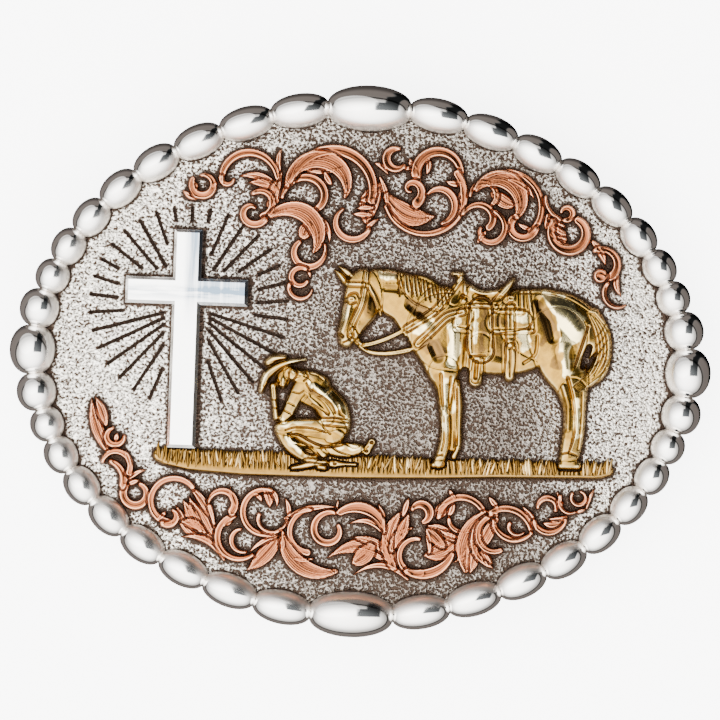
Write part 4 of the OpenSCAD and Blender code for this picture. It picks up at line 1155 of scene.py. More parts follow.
HORSE_DETAIL = [
    # muscles of the body
    (SWELL, 0.35, [[8.0, 6.4, 2.2], [9.4, 5.0, 2.6]]),
    (HOLLOW, 0.35, [[10.4, 2.6, 1.8], [11.2, 1.0, 2.0]]),
    (SWELL, 0.35, [[13.3, 5.0, 1.9], [13.5, 0.8, 1.8]]),
    (HOLLOW, 0.3, [[15.2, 4.0, 0.8], [15.0, -0.6, 0.9]]),
    (SWELL, 0.5, [[26.8, 9.0, 3.2], [29.5, 7.6, 3.8], [31.2, 5.6, 3.2]]),
    (HOLLOW, 0.4, [[25.4, 9.6, 1.8], [26.8, 7.6, 2.2], [27.8, 4.4, 2.0]]),
    (SWELL, 0.3, [[29.4, 2.6, 2.6], [29.8, 0.0, 2.0]]),
    (GROOVE, 0.14, [[22.7, 10.7, 0.4], [27.0, 10.7, 0.4], [30.0, 9.9, 0.4], [33.0, 8.1, 0.4],
        [34.4, 6.8, 0.4]]),
    (GROOVE, 0.45, [[31.0, 0.4, 0.4], [31.9, 3.4, 0.5], [32.7, 6.2, 0.4]]),
    (GAP, 1.0, [[32.2, 0.4, 0.4], [32.6, 1.8, 0.7], [33.0, 3.2, 0.4]]),
    (SWELL, 0.25, [[17.5, 0.6, 2.6], [20.5, 0.2, 2.2]]),
    (GROOVE, 0.25, [[23.6, 0.6, 0.6], [25.2, 2.0, 0.6], [25.4, 4.6, 0.5]]),
    # neck, mane and chest
    (SWELL, 0.3, [[2.8, 12.3, 1.6], [4.6, 12.3, 1.6]]),
    (HOLLOW, 0.3, [[3.2, 10.6, 1.2], [4.8, 10.6, 1.4], [5.6, 10.2, 1.0]]),
    (HOLLOW, 0.35, [[7.0, 8.4, 2.0], [8.6, 7.4, 2.4]]),
    (STRAP, 0.16, [[6.6, 11.6, 2.6], [8.6, 10.6, 4.2], [10.6, 9.6, 3.6]]),
    # head
    (SWELL, 0.35, [[0.8, 8.2, 3.0], [1.0, 6.9, 3.0]]),
    (HOLLOW, 0.25, [[-0.8, 7.4, 1.2], [-1.2, 5.4, 1.2]]),
    (SWELL, 0.22, [[-1.9, 8.0, 1.2], [-2.3, 5.6, 1.1], [-2.8, 4.2, 1.0]]),
    (SWELL, 0.30, [[-1.8, 8.95, 1.0], [-1.4, 8.95, 1.0]]),
    (GROOVE, 0.30, [[-2.4, 9.0, 0.35], [-1.8, 9.7, 0.4], [-0.9, 9.8, 0.4], [-0.5, 9.2, 0.3]]),
    (GROOVE, 0.30, [[-2.4, 8.6, 0.3], [-1.7, 8.2, 0.35], [-0.8, 8.5, 0.3]]),
    (GROOVE, 0.25, [[-1.7, 8.9, 0.35], [-1.5, 8.9, 0.35]]),
    (GROOVE, 0.5, [[-3.05, 3.8, 0.6], [-2.7, 3.5, 0.6]]),
    (GROOVE, 0.35, [[-2.7, 2.6, 0.3], [-2.0, 2.9, 0.3], [-1.2, 3.4, 0.3]]),
    (GROOVE, 0.2, [[-2.1, 12.5, 0.4], [-2.9, 13.1, 0.3]]),
    # bridle
    (STRAP, 0.2, [[-2.4, 11.1, 0.5], [-1.0, 11.1, 0.5], [0.2, 11.1, 0.5]]),
    (STRAP, 0.2, [[0.5, 13.2, 0.6], [0.4, 11.2, 0.6], [0.0, 8.6, 0.6], [-0.7, 6.8, 0.6], [-1.3, 5.2, 0.6],
        [-1.5, 3.8, 0.6]]),
    (STRAP, 0.18, [[0.8, 11.0, 0.5], [2.0, 9.0, 0.5], [2.7, 6.8, 0.5]]),
    (STRAP, 0.2, [[-1.2, 4.6, 0.6], [-0.6, 3.6, 0.6], [0.0, 2.6, 0.6]]),
    (GROOVE, 0.16, [[0.5, 13.2, 0.22], [0.4, 11.2, 0.22], [0.0, 8.6, 0.22], [-0.7, 6.8, 0.22],
        [-1.3, 5.2, 0.22]]),
    # openings beside the reins
    (GAP, 1.0, [[1.2, 3.3, 0.5], [2.4, 4.6, 2.0], [3.6, 5.5, 1.8], [4.7, 5.0, 0.4]]),
    (GAP, 1.0, [[2.6, 2.3, 0.4], [4.4, 2.5, 1.0], [6.4, 3.4, 0.6]]),
    # reins and breast strap
    (STRAP, 0.22, [[6.6, 5.0, 0.9], [8.4, 6.2, 0.9], [10.4, 7.6, 0.9], [11.6, 9.0, 0.8],
        [12.8, 10.8, 0.7], [14.2, 12.6, 0.6]]),
    (GROOVE, 0.22, [[-0.6, 2.8, 0.3], [0.4, 2.4, 0.3], [3.2, 3.2, 0.3], [6.6, 5.0, 0.3], [10.4, 7.6, 0.3],
        [11.6, 9.0, 0.3], [14.0, 12.3, 0.25]]),
    (STRAP, 0.22, [[8.2, 2.8, 1.0], [10.2, 4.8, 1.0], [12.3, 6.9, 1.0], [14.6, 7.7, 0.8]]),
    (GROOVE, 0.25, [[8.2, 2.8, 0.4], [10.2, 4.8, 0.4], [12.3, 6.9, 0.4], [14.4, 7.6, 0.3]]),
    (GROOVE, 0.2, [[0.6, 1.8, 0.25], [1.6, 1.35, 0.25], [4.0, 1.3, 0.25], [7.0, 1.9, 0.25]]),
    # saddle skirts, blanket and panels
    (STRAP, 0.18, [[14.4, 6.2, 2.2], [14.9, 7.2, 2.2]]),
    (STRAP, 0.18, [[19.6, 6.3, 3.0], [21.4, 6.8, 3.2], [23.2, 6.9, 2.6]]),
    (STRAP, 0.15, [[22.9, 11.2, 0.5], [23.1, 8.2, 0.5], [22.8, 7.9, 0.5]]),
    (STRAP, 0.15, [[23.9, 11.0, 0.5], [24.4, 8.0, 0.5], [24.7, 5.4, 0.5]]),
    (STRAP, 0.14, [[13.6, 5.2, 0.5], [15.4, 5.0, 0.5]]),
    (STRAP, 0.14, [[19.2, 5.0, 0.5], [21.8, 5.1, 0.5], [24.6, 5.3, 0.5]]),
    (STRAP, 0.14, [[19.2, 8.1, 0.5], [21.0, 8.0, 0.5], [23.2, 8.0, 0.5]]),
    # seat and cantle
    (SWELL, 0.35, [[15.6, 11.1, 0.9], [17.2, 10.6, 1.0], [19.4, 10.8, 1.0]]),
    (HOLLOW, 0.35, [[16.2, 9.9, 1.2], [18.2, 9.5, 1.4], [19.8, 9.9, 1.0]]),
    (STRAP, 0.22, [[21.7, 12.6, 0.9], [20.4, 10.8, 0.8], [18.9, 9.0, 0.6]]),
    (STRAP, 0.2, [[15.2, 8.6, 0.45], [17.4, 8.7, 0.45], [19.4, 8.6, 0.45]]),
    (SWELL, 0.35, [[14.8, 11.4, 1.0], [14.7, 10.2, 1.0]]),
    (SWELL, 0.4, [[21.3, 9.9, 1.3], [21.5, 9.9, 1.3]]),
    (GROOVE, 0.3, [[21.3, 9.9, 0.5], [21.5, 9.9, 0.5]]),
    (GROOVE, 0.2, [[20.6, 10.4, 0.3], [20.3, 9.4, 0.3], [21.0, 9.0, 0.3], [22.0, 9.0, 0.3]]),
    (SWELL, 0.3, [[14.5, 9.4, 1.0], [14.7, 9.4, 1.0]]),
    # stirrup leather and stirrup
    (STRAP, 0.34, [[17.1, 8.2, 3.1], [17.1, 5.6, 3.3], [17.2, 3.0, 3.6], [17.4, 2.2, 3.4]]),
    (GROOVE, 0.2, [[16.1, 7.9, 0.3], [16.0, 4.6, 0.3], [16.1, 1.9, 0.3]]),
    (GROOVE, 0.2, [[18.3, 7.9, 0.3], [18.6, 4.6, 0.3], [18.5, 2.2, 0.3]]),
    (GROOVE, 0.35, [[15.9, 1.3, 0.4], [17.9, 1.5, 0.4]]),
    (STRAP, 0.2, [[16.0, 0.9, 0.4], [15.9, -2.4, 0.4], [17.5, -2.4, 0.4], [17.6, 0.9, 0.4]]),
    (HOLLOW, 0.5, [[16.8, 0.5, 0.9], [16.7, -1.7, 0.9]]),
    # latigo and cinch
    (STRAP, 0.24, [[21.4, 8.6, 1.1], [21.5, 5.4, 1.1], [21.5, 3.2, 0.9]]),
    (GROOVE, 0.2, [[21.4, 8.2, 0.3], [21.5, 5.6, 0.3]]),
    (STRAP, 0.22, [[21.6, 2.8, 1.3], [21.7, 0.8, 1.3], [21.5, -1.6, 1.4]]),
    (GROOVE, 0.22, [[21.6, 2.6, 0.3], [21.7, -1.4, 0.3]]),
    (SWELL, 0.25, [[21.5, 3.4, 1.2], [21.5, 3.0, 1.2]]),
    # front legs
    (GROOVE, 0.35, [[11.7, -1.4, 0.6], [11.9, -4.0, 0.6], [12.2, -6.4, 0.4]]),
    (GROOVE, 0.3, [[13.2, -1.8, 0.5], [13.0, -4.6, 0.4], [13.2, -7.4, 0.3]]),
    (GROOVE, 0.25, [[12.3, -7.6, 0.4], [12.5, -10.6, 0.4], [12.2, -12.4, 0.3]]),
    (SWELL, 0.25, [[12.3, -6.4, 1.2], [12.4, -6.9, 1.2]]),
    (GROOVE, 0.3, [[11.2, -13.2, 0.3], [12.4, -13.0, 0.3]]),
    (GROOVE, 0.3, [[14.1, -3.4, 0.4], [14.3, -8.0, 0.4], [14.4, -11.6, 0.3]]),
    (GAP, 1.0, [[14.9, -1.6, 0.9], [15.1, -0.8, 0.7]]),
    # hind leg
    (GROOVE, 0.35, [[30.0, -1.2, 0.6], [31.0, -5.0, 0.6], [31.3, -9.0, 0.5], [30.6, -12.0, 0.3]]),
    (GROOVE, 0.25, [[32.2, -3.4, 0.4], [32.2, -8.0, 0.4], [31.9, -11.6, 0.3]]),
    (SWELL, 0.3, [[29.4, -2.6, 1.0], [30.2, -5.4, 1.0], [30.3, -8.8, 1.0]]),
    (GROOVE, 0.3, [[29.0, -12.5, 0.35], [30.4, -12.1, 0.35], [31.8, -12.5, 0.3]]),
]

# Painted dark reflections and highlights on the horse's colour, by place
HORSE_PAINTED_REFLECTIONS = [
    # haunch
    (PAINTED_DARK_REFLECTION, 1.5, [[25.0, 10.2, 0.8], [25.6, 8.6, 1.9], [26.6, 6.6, 2.5], [27.0, 5.0, 2.0],
        [26.4, 4.0, 1.2]]),
    (PAINTED_HIGHLIGHT, 1.8, [[26.2, 10.6, 1.0], [28.3, 9.2, 2.6], [29.9, 7.4, 3.6], [30.2, 5.4, 3.4],
        [29.4, 3.4, 1.8]]),
    (PAINTED_DARK_REFLECTION, 1.3, [[27.8, 1.2, 1.2], [28.6, 0.2, 1.2]]),
    (PAINTED_HIGHLIGHT, 1.2, [[29.7, 1.6, 1.4], [29.8, -0.6, 1.3]]),
    # neck and head
    (PAINTED_DARK_REFLECTION, 1.4, [[6.8, 8.8, 1.4], [8.4, 7.4, 2.6], [8.8, 6.9, 2.0]]),
    (PAINTED_HIGHLIGHT, 1.0, [[2.7, 12.4, 0.9], [4.4, 12.4, 1.1]]),
    (PAINTED_DARK_REFLECTION, 0.9, [[2.6, 11.1, 0.7], [4.6, 10.9, 0.8], [5.6, 10.2, 0.6]]),
    (PAINTED_DARK_REFLECTION, 1.3, [[1.3, 8.9, 1.0], [1.2, 7.6, 1.7], [0.9, 6.9, 1.2]]),
    (PAINTED_HIGHLIGHT, 0.8, [[-2.2, 8.0, 0.6], [-2.6, 5.8, 0.6]]),
    # chest and shoulder
    (PAINTED_HIGHLIGHT, 1.3, [[7.6, 4.4, 0.9], [8.8, 5.6, 1.6], [10.0, 6.6, 1.2]]),
    (PAINTED_DARK_REFLECTION, 1.6, [[9.4, 2.8, 1.8], [11.0, 2.2, 2.6], [11.6, 1.4, 1.8]]),
    (PAINTED_HIGHLIGHT, 1.7, [[13.4, 5.2, 1.4], [13.4, 3.0, 2.0], [13.2, 0.4, 1.4]]),
    (PAINTED_DARK_REFLECTION, 1.0, [[14.9, 4.6, 0.8], [15.0, 1.0, 0.9]]),
    # saddle and its leathers
    (PAINTED_DARK_REFLECTION, 1.6, [[17.6, 7.6, 1.2], [17.6, 4.6, 1.3], [17.4, 2.2, 1.4]]),
    (PAINTED_HIGHLIGHT, 1.2, [[16.5, 7.8, 0.7], [16.4, 3.2, 0.7]]),
    (PAINTED_DARK_REFLECTION, 1.2, [[16.4, 9.9, 0.8], [18.4, 9.5, 1.1], [19.6, 9.8, 0.8]]),
    (PAINTED_HIGHLIGHT, 1.0, [[15.8, 11.0, 0.5], [18.8, 10.7, 0.5]]),
    (PAINTED_DARK_REFLECTION, 1.3, [[19.6, 6.4, 1.6], [20.2, 6.4, 1.6]]),
    (PAINTED_HIGHLIGHT, 0.9, [[22.4, 7.2, 1.2], [23.4, 7.0, 1.2]]),
    (PAINTED_HIGHLIGHT, 0.9, [[13.6, 7.0, 0.9], [14.2, 6.2, 0.9]]),
    # barrel and legs
    (PAINTED_HIGHLIGHT, 1.3, [[23.3, 4.4, 1.5], [23.7, 3.0, 1.5]]),
    (PAINTED_DARK_REFLECTION, 1.1, [[19.6, 3.6, 1.4], [20.2, 1.8, 1.2]]),
    (PAINTED_HIGHLIGHT, 0.9, [[12.0, -1.4, 0.5], [12.5, -5.6, 0.5], [12.6, -9.4, 0.4]]),
    (PAINTED_HIGHLIGHT, 0.7, [[13.5, -2.0, 0.4], [13.6, -6.8, 0.4]]),
    (PAINTED_DARK_REFLECTION, 0.8, [[11.1, -1.6, 0.5], [11.8, -5.6, 0.4]]),
    (PAINTED_HIGHLIGHT, 0.9, [[31.4, -4.8, 0.7], [31.6, -9.6, 0.7]]),
    (PAINTED_DARK_REFLECTION, 0.8, [[30.3, -4.0, 0.6], [30.4, -9.6, 0.6]]),
]

COWBOY_FORMS = [
    # back boot, the trouser's other hem, shin, front boot and its heel
    (0.5, [[-4.6, -12.8, 1.6], [-2.7, -12.9, 2.2], [-1.0, -12.8, 2.3], [0.5, -12.6, 1.7]]),
    (0.5, [[-7.0, -12.2, 1.6], [-5.8, -12.8, 1.8], [-4.8, -13.6, 1.5]]),
    (0.9, [[-11.0, -10.2, 2.4], [-9.6, -11.9, 3.1], [-7.8, -13.3, 2.9], [-6.3, -14.3, 2.1]]),
    (0.7, [[-9.2, -15.7, 0.9], [-7.8, -15.4, 1.2], [-6.4, -15.0, 1.4], [-4.4, -14.7, 1.0]]),
    (0.6, [[-5.4, -15.4, 1.1], [-4.6, -15.5, 1.1]]),
    # back and waist, thigh
    (1.1, [[-6.8, -3.6, 4.2], [-5.2, -5.4, 4.4], [-3.6, -7.4, 4.8], [-3.2, -9.6, 4.4],
        [-3.8, -10.9, 3.0]]),
    (1.1, [[-3.4, -10.1, 3.8], [-6.0, -10.0, 3.4], [-9.2, -9.8, 2.7], [-11.2, -9.9, 1.9]]),
    # shirt front, calf folded under the thigh
    (0.6, [[-8.6, -5.2, 2.2], [-7.5, -5.8, 1.9], [-6.2, -6.3, 2.2], [-5.2, -7.3, 2.4],
        [-4.6, -8.2, 2.4]]),
    (0.6, [[-9.0, -11.3, 1.8], [-6.6, -11.5, 2.2], [-4.2, -11.4, 2.4], [-2.8, -11.0, 2.2]]),
    # head, collar and shoulder
    (0.8, [[-10.4, -1.8, 2.2], [-11.1, -3.0, 2.4], [-11.0, -3.8, 1.4]]),
    (1.0, [[-9.8, -2.2, 2.2], [-7.6, -2.8, 2.8], [-5.6, -3.6, 3.2]]),
    # upper arm and forearms
    (1.0, [[-8.2, -3.9, 3.0], [-9.2, -5.6, 2.5], [-10.1, -7.6, 2.2], [-10.8, -8.5, 1.8]]),
    (0.7, [[-12.4, -4.0, 1.4], [-12.1, -6.4, 1.2], [-11.8, -8.5, 1.3]]),
    # hat crown and brim
    (0.9, [[-13.2, -0.6, 1.5], [-12.2, 0.0, 1.5], [-10.9, 0.1, 1.2]]),
    (1.0, [[-14.1, -4.7, 1.1], [-13.4, -2.6, 1.6], [-11.9, -1.3, 1.5], [-10.1, -0.5, 1.2],
        [-7.9, 0.0, 0.7]]),
    # spurs
    (0.2, [[1.4, -12.9, 1.4], [2.1, -11.6, 1.3]]),
    (0.2, [[-3.6, -14.9, 1.2], [-2.8, -14.9, 1.1], [-1.4, -14.9, 0.6], [-0.1, -14.9, 0.6]]),
]

COWBOY_DETAIL = [
    # hat band, crown's dent and brim's roll
    (GROOVE, 0.35, [[-13.9, -1.4, 0.3], [-12.4, -0.75, 0.3], [-11.2, -0.3, 0.3], [-10.2, 0.0, 0.25]]),
    (GROOVE, 0.18, [[-13.6, -0.9, 0.22], [-12.2, -0.35, 0.22], [-10.8, 0.05, 0.2]]),
    (HOLLOW, 0.25, [[-12.4, 0.4, 0.5], [-11.4, 0.5, 0.5]]),
    (HOLLOW, 0.18, [[-13.7, -3.9, 0.6], [-12.9, -2.4, 0.8], [-11.4, -1.4, 0.7], [-9.8, -0.7, 0.5]]),
    # face below the brim, turned down and mostly hidden
    (HOLLOW, 0.3, [[-12.0, -2.7, 0.7], [-11.7, -3.5, 0.7]]),
    (SWELL, 0.25, [[-10.9, -3.0, 1.0], [-11.0, -3.7, 0.9]]),
    (GROOVE, 0.3, [[-10.2, -1.9, 0.3], [-10.2, -2.9, 0.3], [-10.6, -4.0, 0.3]]),
    # neckerchief and collar
    (SWELL, 0.3, [[-9.7, -1.7, 0.8], [-9.5, -1.9, 0.8]]),
    (SWELL, 0.3, [[-8.6, -2.0, 0.9], [-8.3, -2.2, 0.9]]),
    (GROOVE, 0.3, [[-9.1, -1.3, 0.3], [-9.0, -2.2, 0.3], [-9.6, -3.1, 0.3]]),
    (GROOVE, 0.25, [[-7.9, -1.6, 0.3], [-7.4, -2.4, 0.3], [-8.0, -3.1, 0.25]]),
    (GROOVE, 0.2, [[-7.2, -2.0, 0.25], [-6.0, -2.3, 0.25], [-5.2, -2.9, 0.2]]),
    # sleeve and back of the shirt
    (GROOVE, 0.3, [[-7.6, -3.4, 0.3], [-7.0, -4.4, 0.35], [-5.2, -5.3, 0.35], [-4.0, -6.2, 0.3],
        [-3.3, -7.6, 0.25]]),
    (SWELL, 0.3, [[-6.6, -3.8, 1.3], [-4.6, -5.2, 1.5], [-3.0, -6.9, 1.3]]),
    (HOLLOW, 0.3, [[-6.8, -5.2, 0.9], [-5.4, -6.3, 1.0], [-4.4, -7.6, 0.9]]),
    (GROOVE, 0.2, [[-6.7, -6.4, 0.3], [-5.2, -7.2, 0.3], [-4.2, -8.0, 0.25]]),
    (GROOVE, 0.2, [[-9.6, -4.7, 0.3], [-8.6, -4.9, 0.3], [-7.9, -4.5, 0.25]]),
    (GROOVE, 0.18, [[-10.2, -6.3, 0.3], [-9.2, -6.7, 0.3]]),
    (GROOVE, 0.2, [[-10.8, -7.4, 0.3], [-9.7, -7.9, 0.3]]),
    (GROOVE, 0.25, [[-2.9, -6.5, 0.3], [-2.6, -7.6, 0.35], [-1.9, -8.1, 0.3]]),
    # hand and cuffs
    (GROOVE, 0.28, [[-12.9, -5.9, 0.3], [-11.4, -6.0, 0.3]]),
    (GROOVE, 0.28, [[-12.8, -7.1, 0.3], [-11.3, -7.2, 0.3]]),
    (GROOVE, 0.2, [[-12.4, -4.2, 0.25], [-12.2, -5.7, 0.25]]),
    # belt, trouser seams and folds
    (GROOVE, 0.3, [[-6.2, -8.5, 0.3], [-3.8, -8.3, 0.35], [-1.4, -8.4, 0.3]]),
    (STRAP, 0.16, [[-4.9, -9.0, 0.5], [-3.2, -9.1, 0.5], [-1.3, -9.2, 0.5]]),
    (GROOVE, 0.28, [[-10.4, -10.3, 0.3], [-8.8, -9.8, 0.35], [-6.4, -9.9, 0.35], [-4.5, -10.4, 0.3]]),
    (GROOVE, 0.22, [[-5.2, -8.9, 0.3], [-4.8, -9.8, 0.3], [-3.9, -10.6, 0.3]]),
    (SWELL, 0.2, [[-3.2, -10.0, 1.2], [-2.2, -10.6, 1.2]]),
    (GROOVE, 0.38, [[-10.0, -10.8, 0.35], [-8.4, -10.9, 0.4], [-6.4, -11.9, 0.4], [-4.2, -12.5, 0.4],
        [-2.2, -12.2, 0.3]]),
    (GROOVE, 0.2, [[-8.8, -11.3, 0.3], [-7.4, -12.2, 0.3], [-6.4, -12.6, 0.25]]),
    (SWELL, 0.25, [[-10.2, -11.2, 1.2], [-8.6, -12.8, 1.4], [-7.4, -13.8, 1.2]]),
    (HOLLOW, 0.3, [[-7.2, -13.3, 0.7], [-6.2, -13.6, 0.7]]),
    (GROOVE, 0.3, [[-8.2, -14.8, 0.3], [-7.0, -14.2, 0.3], [-5.4, -14.2, 0.3], [-4.0, -14.3, 0.3]]),
    # boots and spurs
    (GROOVE, 0.3, [[-9.3, -15.2, 0.25], [-6.8, -14.8, 0.3], [-4.0, -15.1, 0.25]]),
    (GROOVE, 0.4, [[-6.2, -15.4, 0.3], [-6.1, -16.1, 0.3]]),
    (GROOVE, 0.25, [[-3.6, -12.5, 0.3], [-2.4, -13.2, 0.3], [-0.6, -13.7, 0.3]]),
    (GROOVE, 0.22, [[-1.6, -12.0, 0.3], [-0.2, -12.5, 0.3], [0.6, -11.9, 0.25]]),
    (GROOVE, 0.5, [[2.05, -11.6, 0.55], [2.15, -11.6, 0.55]]),
    (GROOVE, 0.5, [[1.35, -12.9, 0.55], [1.45, -12.9, 0.55]]),
    (GROOVE, 0.4, [[-3.15, -14.9, 0.5], [-3.05, -14.9, 0.5]]),
    (GROOVE, 0.2, [[0.6, -13.2, 0.25], [1.6, -12.2, 0.25]]),
]

# Painted dark reflections and highlights on the cowboy's colour, by place
COWBOY_PAINTED_REFLECTIONS = [
    (PAINTED_DARK_REFLECTION, 1.2, [[-11.8, -2.6, 0.8], [-11.0, -2.3, 0.7]]),
    (PAINTED_DARK_REFLECTION, 1.5, [[-7.0, -4.5, 0.4], [-5.2, -5.5, 0.5], [-4.0, -6.4, 0.4]]),
    (PAINTED_DARK_REFLECTION, 1.0, [[-7.4, -6.2, 0.7], [-6.0, -7.1, 0.8], [-5.4, -8.0, 0.7]]),
    (PAINTED_HIGHLIGHT, 1.3, [[-7.0, -3.6, 0.8], [-5.7, -4.3, 1.0], [-4.2, -5.4, 0.9], [-2.9, -6.7, 0.6]]),
    (PAINTED_HIGHLIGHT, 1.1, [[-10.7, -9.3, 0.5], [-8.6, -9.0, 0.7], [-6.2, -8.9, 0.7], [-4.9, -8.9, 0.4]]),
    (PAINTED_HIGHLIGHT, 0.9, [[-10.4, -0.4, 0.5], [-8.2, -0.1, 0.5]]),
    (PAINTED_HIGHLIGHT, 0.8, [[-13.9, -3.6, 0.5], [-13.2, -2.1, 0.5]]),
    (PAINTED_HIGHLIGHT, 0.8, [[-1.7, -6.6, 0.4], [-1.3, -8.2, 0.5], [-1.3, -9.8, 0.4]]),
    (PAINTED_DARK_REFLECTION, 0.9, [[-8.6, -10.3, 0.5], [-5.6, -10.8, 0.6]]),
    (PAINTED_HIGHLIGHT, 0.8, [[-10.0, -11.6, 0.6], [-8.4, -13.0, 0.7]]),
    (PAINTED_DARK_REFLECTION, 1.5, [[-7.3, -13.2, 0.5], [-6.3, -13.5, 0.6]]),
    (PAINTED_HIGHLIGHT, 0.8, [[-2.6, -12.6, 0.5], [-0.4, -12.6, 0.6]]),
    (PAINTED_DARK_REFLECTION, 0.9, [[-1.6, -10.0, 0.5], [-1.7, -11.0, 0.6]]),
]


@dataclass
class Figure:
    """A cast figure: round forms run together, tooled with detail, then given painted dark reflections and
    highlights.
    """

    name: str
    forms: Sequence[Form]
    detail: Sequence[Stroke]
    painted_reflections: Sequence[Stroke]
    low: tuple[float, float]
    high: tuple[float, float]
    step: float = 0.105
    blend: float = 0.22
    edge: float = 0.72
    rounding: float = 0.3
    crease: float = 0.12

    def make(self) -> Relief:
        """Builds and seats the figure.

        Returns:
            Its relief.
        """
        relief = Relief(self.low, self.high, self.step)
        for rise, rows in self.forms:
            c = relief.chart(smooth_rows(rows, 6))
            crown = rise * np.sqrt(np.clip(1 - c.side**2, 0, 1)) * soft(c.edge, 0.0, 0.5)
            relief.lay(c, relief.wall(c, self.edge, self.rounding) + crown, self.crease, self.blend)
        self.comb(relief)
        for touch, amount, rows in (*self.detail, *self.painted_reflections):
            relief.tooled(touch, amount, rows)
        cast(relief, self.name, GOLD, "gold")
        return relief

    def comb(self, relief: Relief) -> None:
        """Combs the hair of a figure that has some."""


@dataclass
class Horse(Figure):
    """The standing saddled horse, with hair in its mane and tail."""

    mane_strands: int = 17
    tail_strands: int = 5
    tail_tufts: int = 6

    def comb(self, relief: Relief) -> None:
        """Combs the mane and the tail.

        Args:
            relief: The horse's relief.
        """
        for k in range(self.mane_strands):
            x, top = 4.9 + 0.42 * k, 13.3 - 0.03 * k - 0.0042 * k * k
            sway, dip = 0.35 * math.sin(2.1 * k), 0.5 * math.cos(1.3 * k)
            middle = [x + 0.2 + 0.4 * sway, top - 1.6, 0.34]
            end = [x + 0.5 + sway, top - 3.2 - dip, 0.2]
            relief.tooled(GROOVE, 0.26, [[x, top, 0.25], middle, end])
        for k in range(self.tail_strands):
            off = 0.5 * (k - self.tail_strands // 2)
            upper = [[33.0 + 0.5 * off, 8.2, 0.2], [34.6 + off, 5.6, 0.34], [35.1 + off, 2.6, 0.38]]
            lower = [[34.3 + off, 0.0, 0.36], [32.9 + 0.8 * off, -1.5, 0.32]]
            end = [31.2 + 0.4 * off, -2.9 - 0.3 * off, 0.2]
            relief.tooled(GROOVE, 0.30, [*upper, *lower, end])
        for k in range(self.tail_tufts):
            y = 6.4 - 1.4 * k
            relief.tooled(GROOVE, 0.2, [[33.9, y - 1.6, 0.2], [34.7, y - 0.6, 0.34], [35.6, y + 0.9, 0.2]])


# Places along the lower edge of the grass
GROUND_FOOT = np.array([
    [-29.3, -14.8], [-28.2, -16.0], [-24.0, -16.8], [-16.0, -17.2], [0.0, -17.1],
    [12.0, -16.7], [20.0, -16.3], [35.0, -15.9], [36.6, -15.4],
])


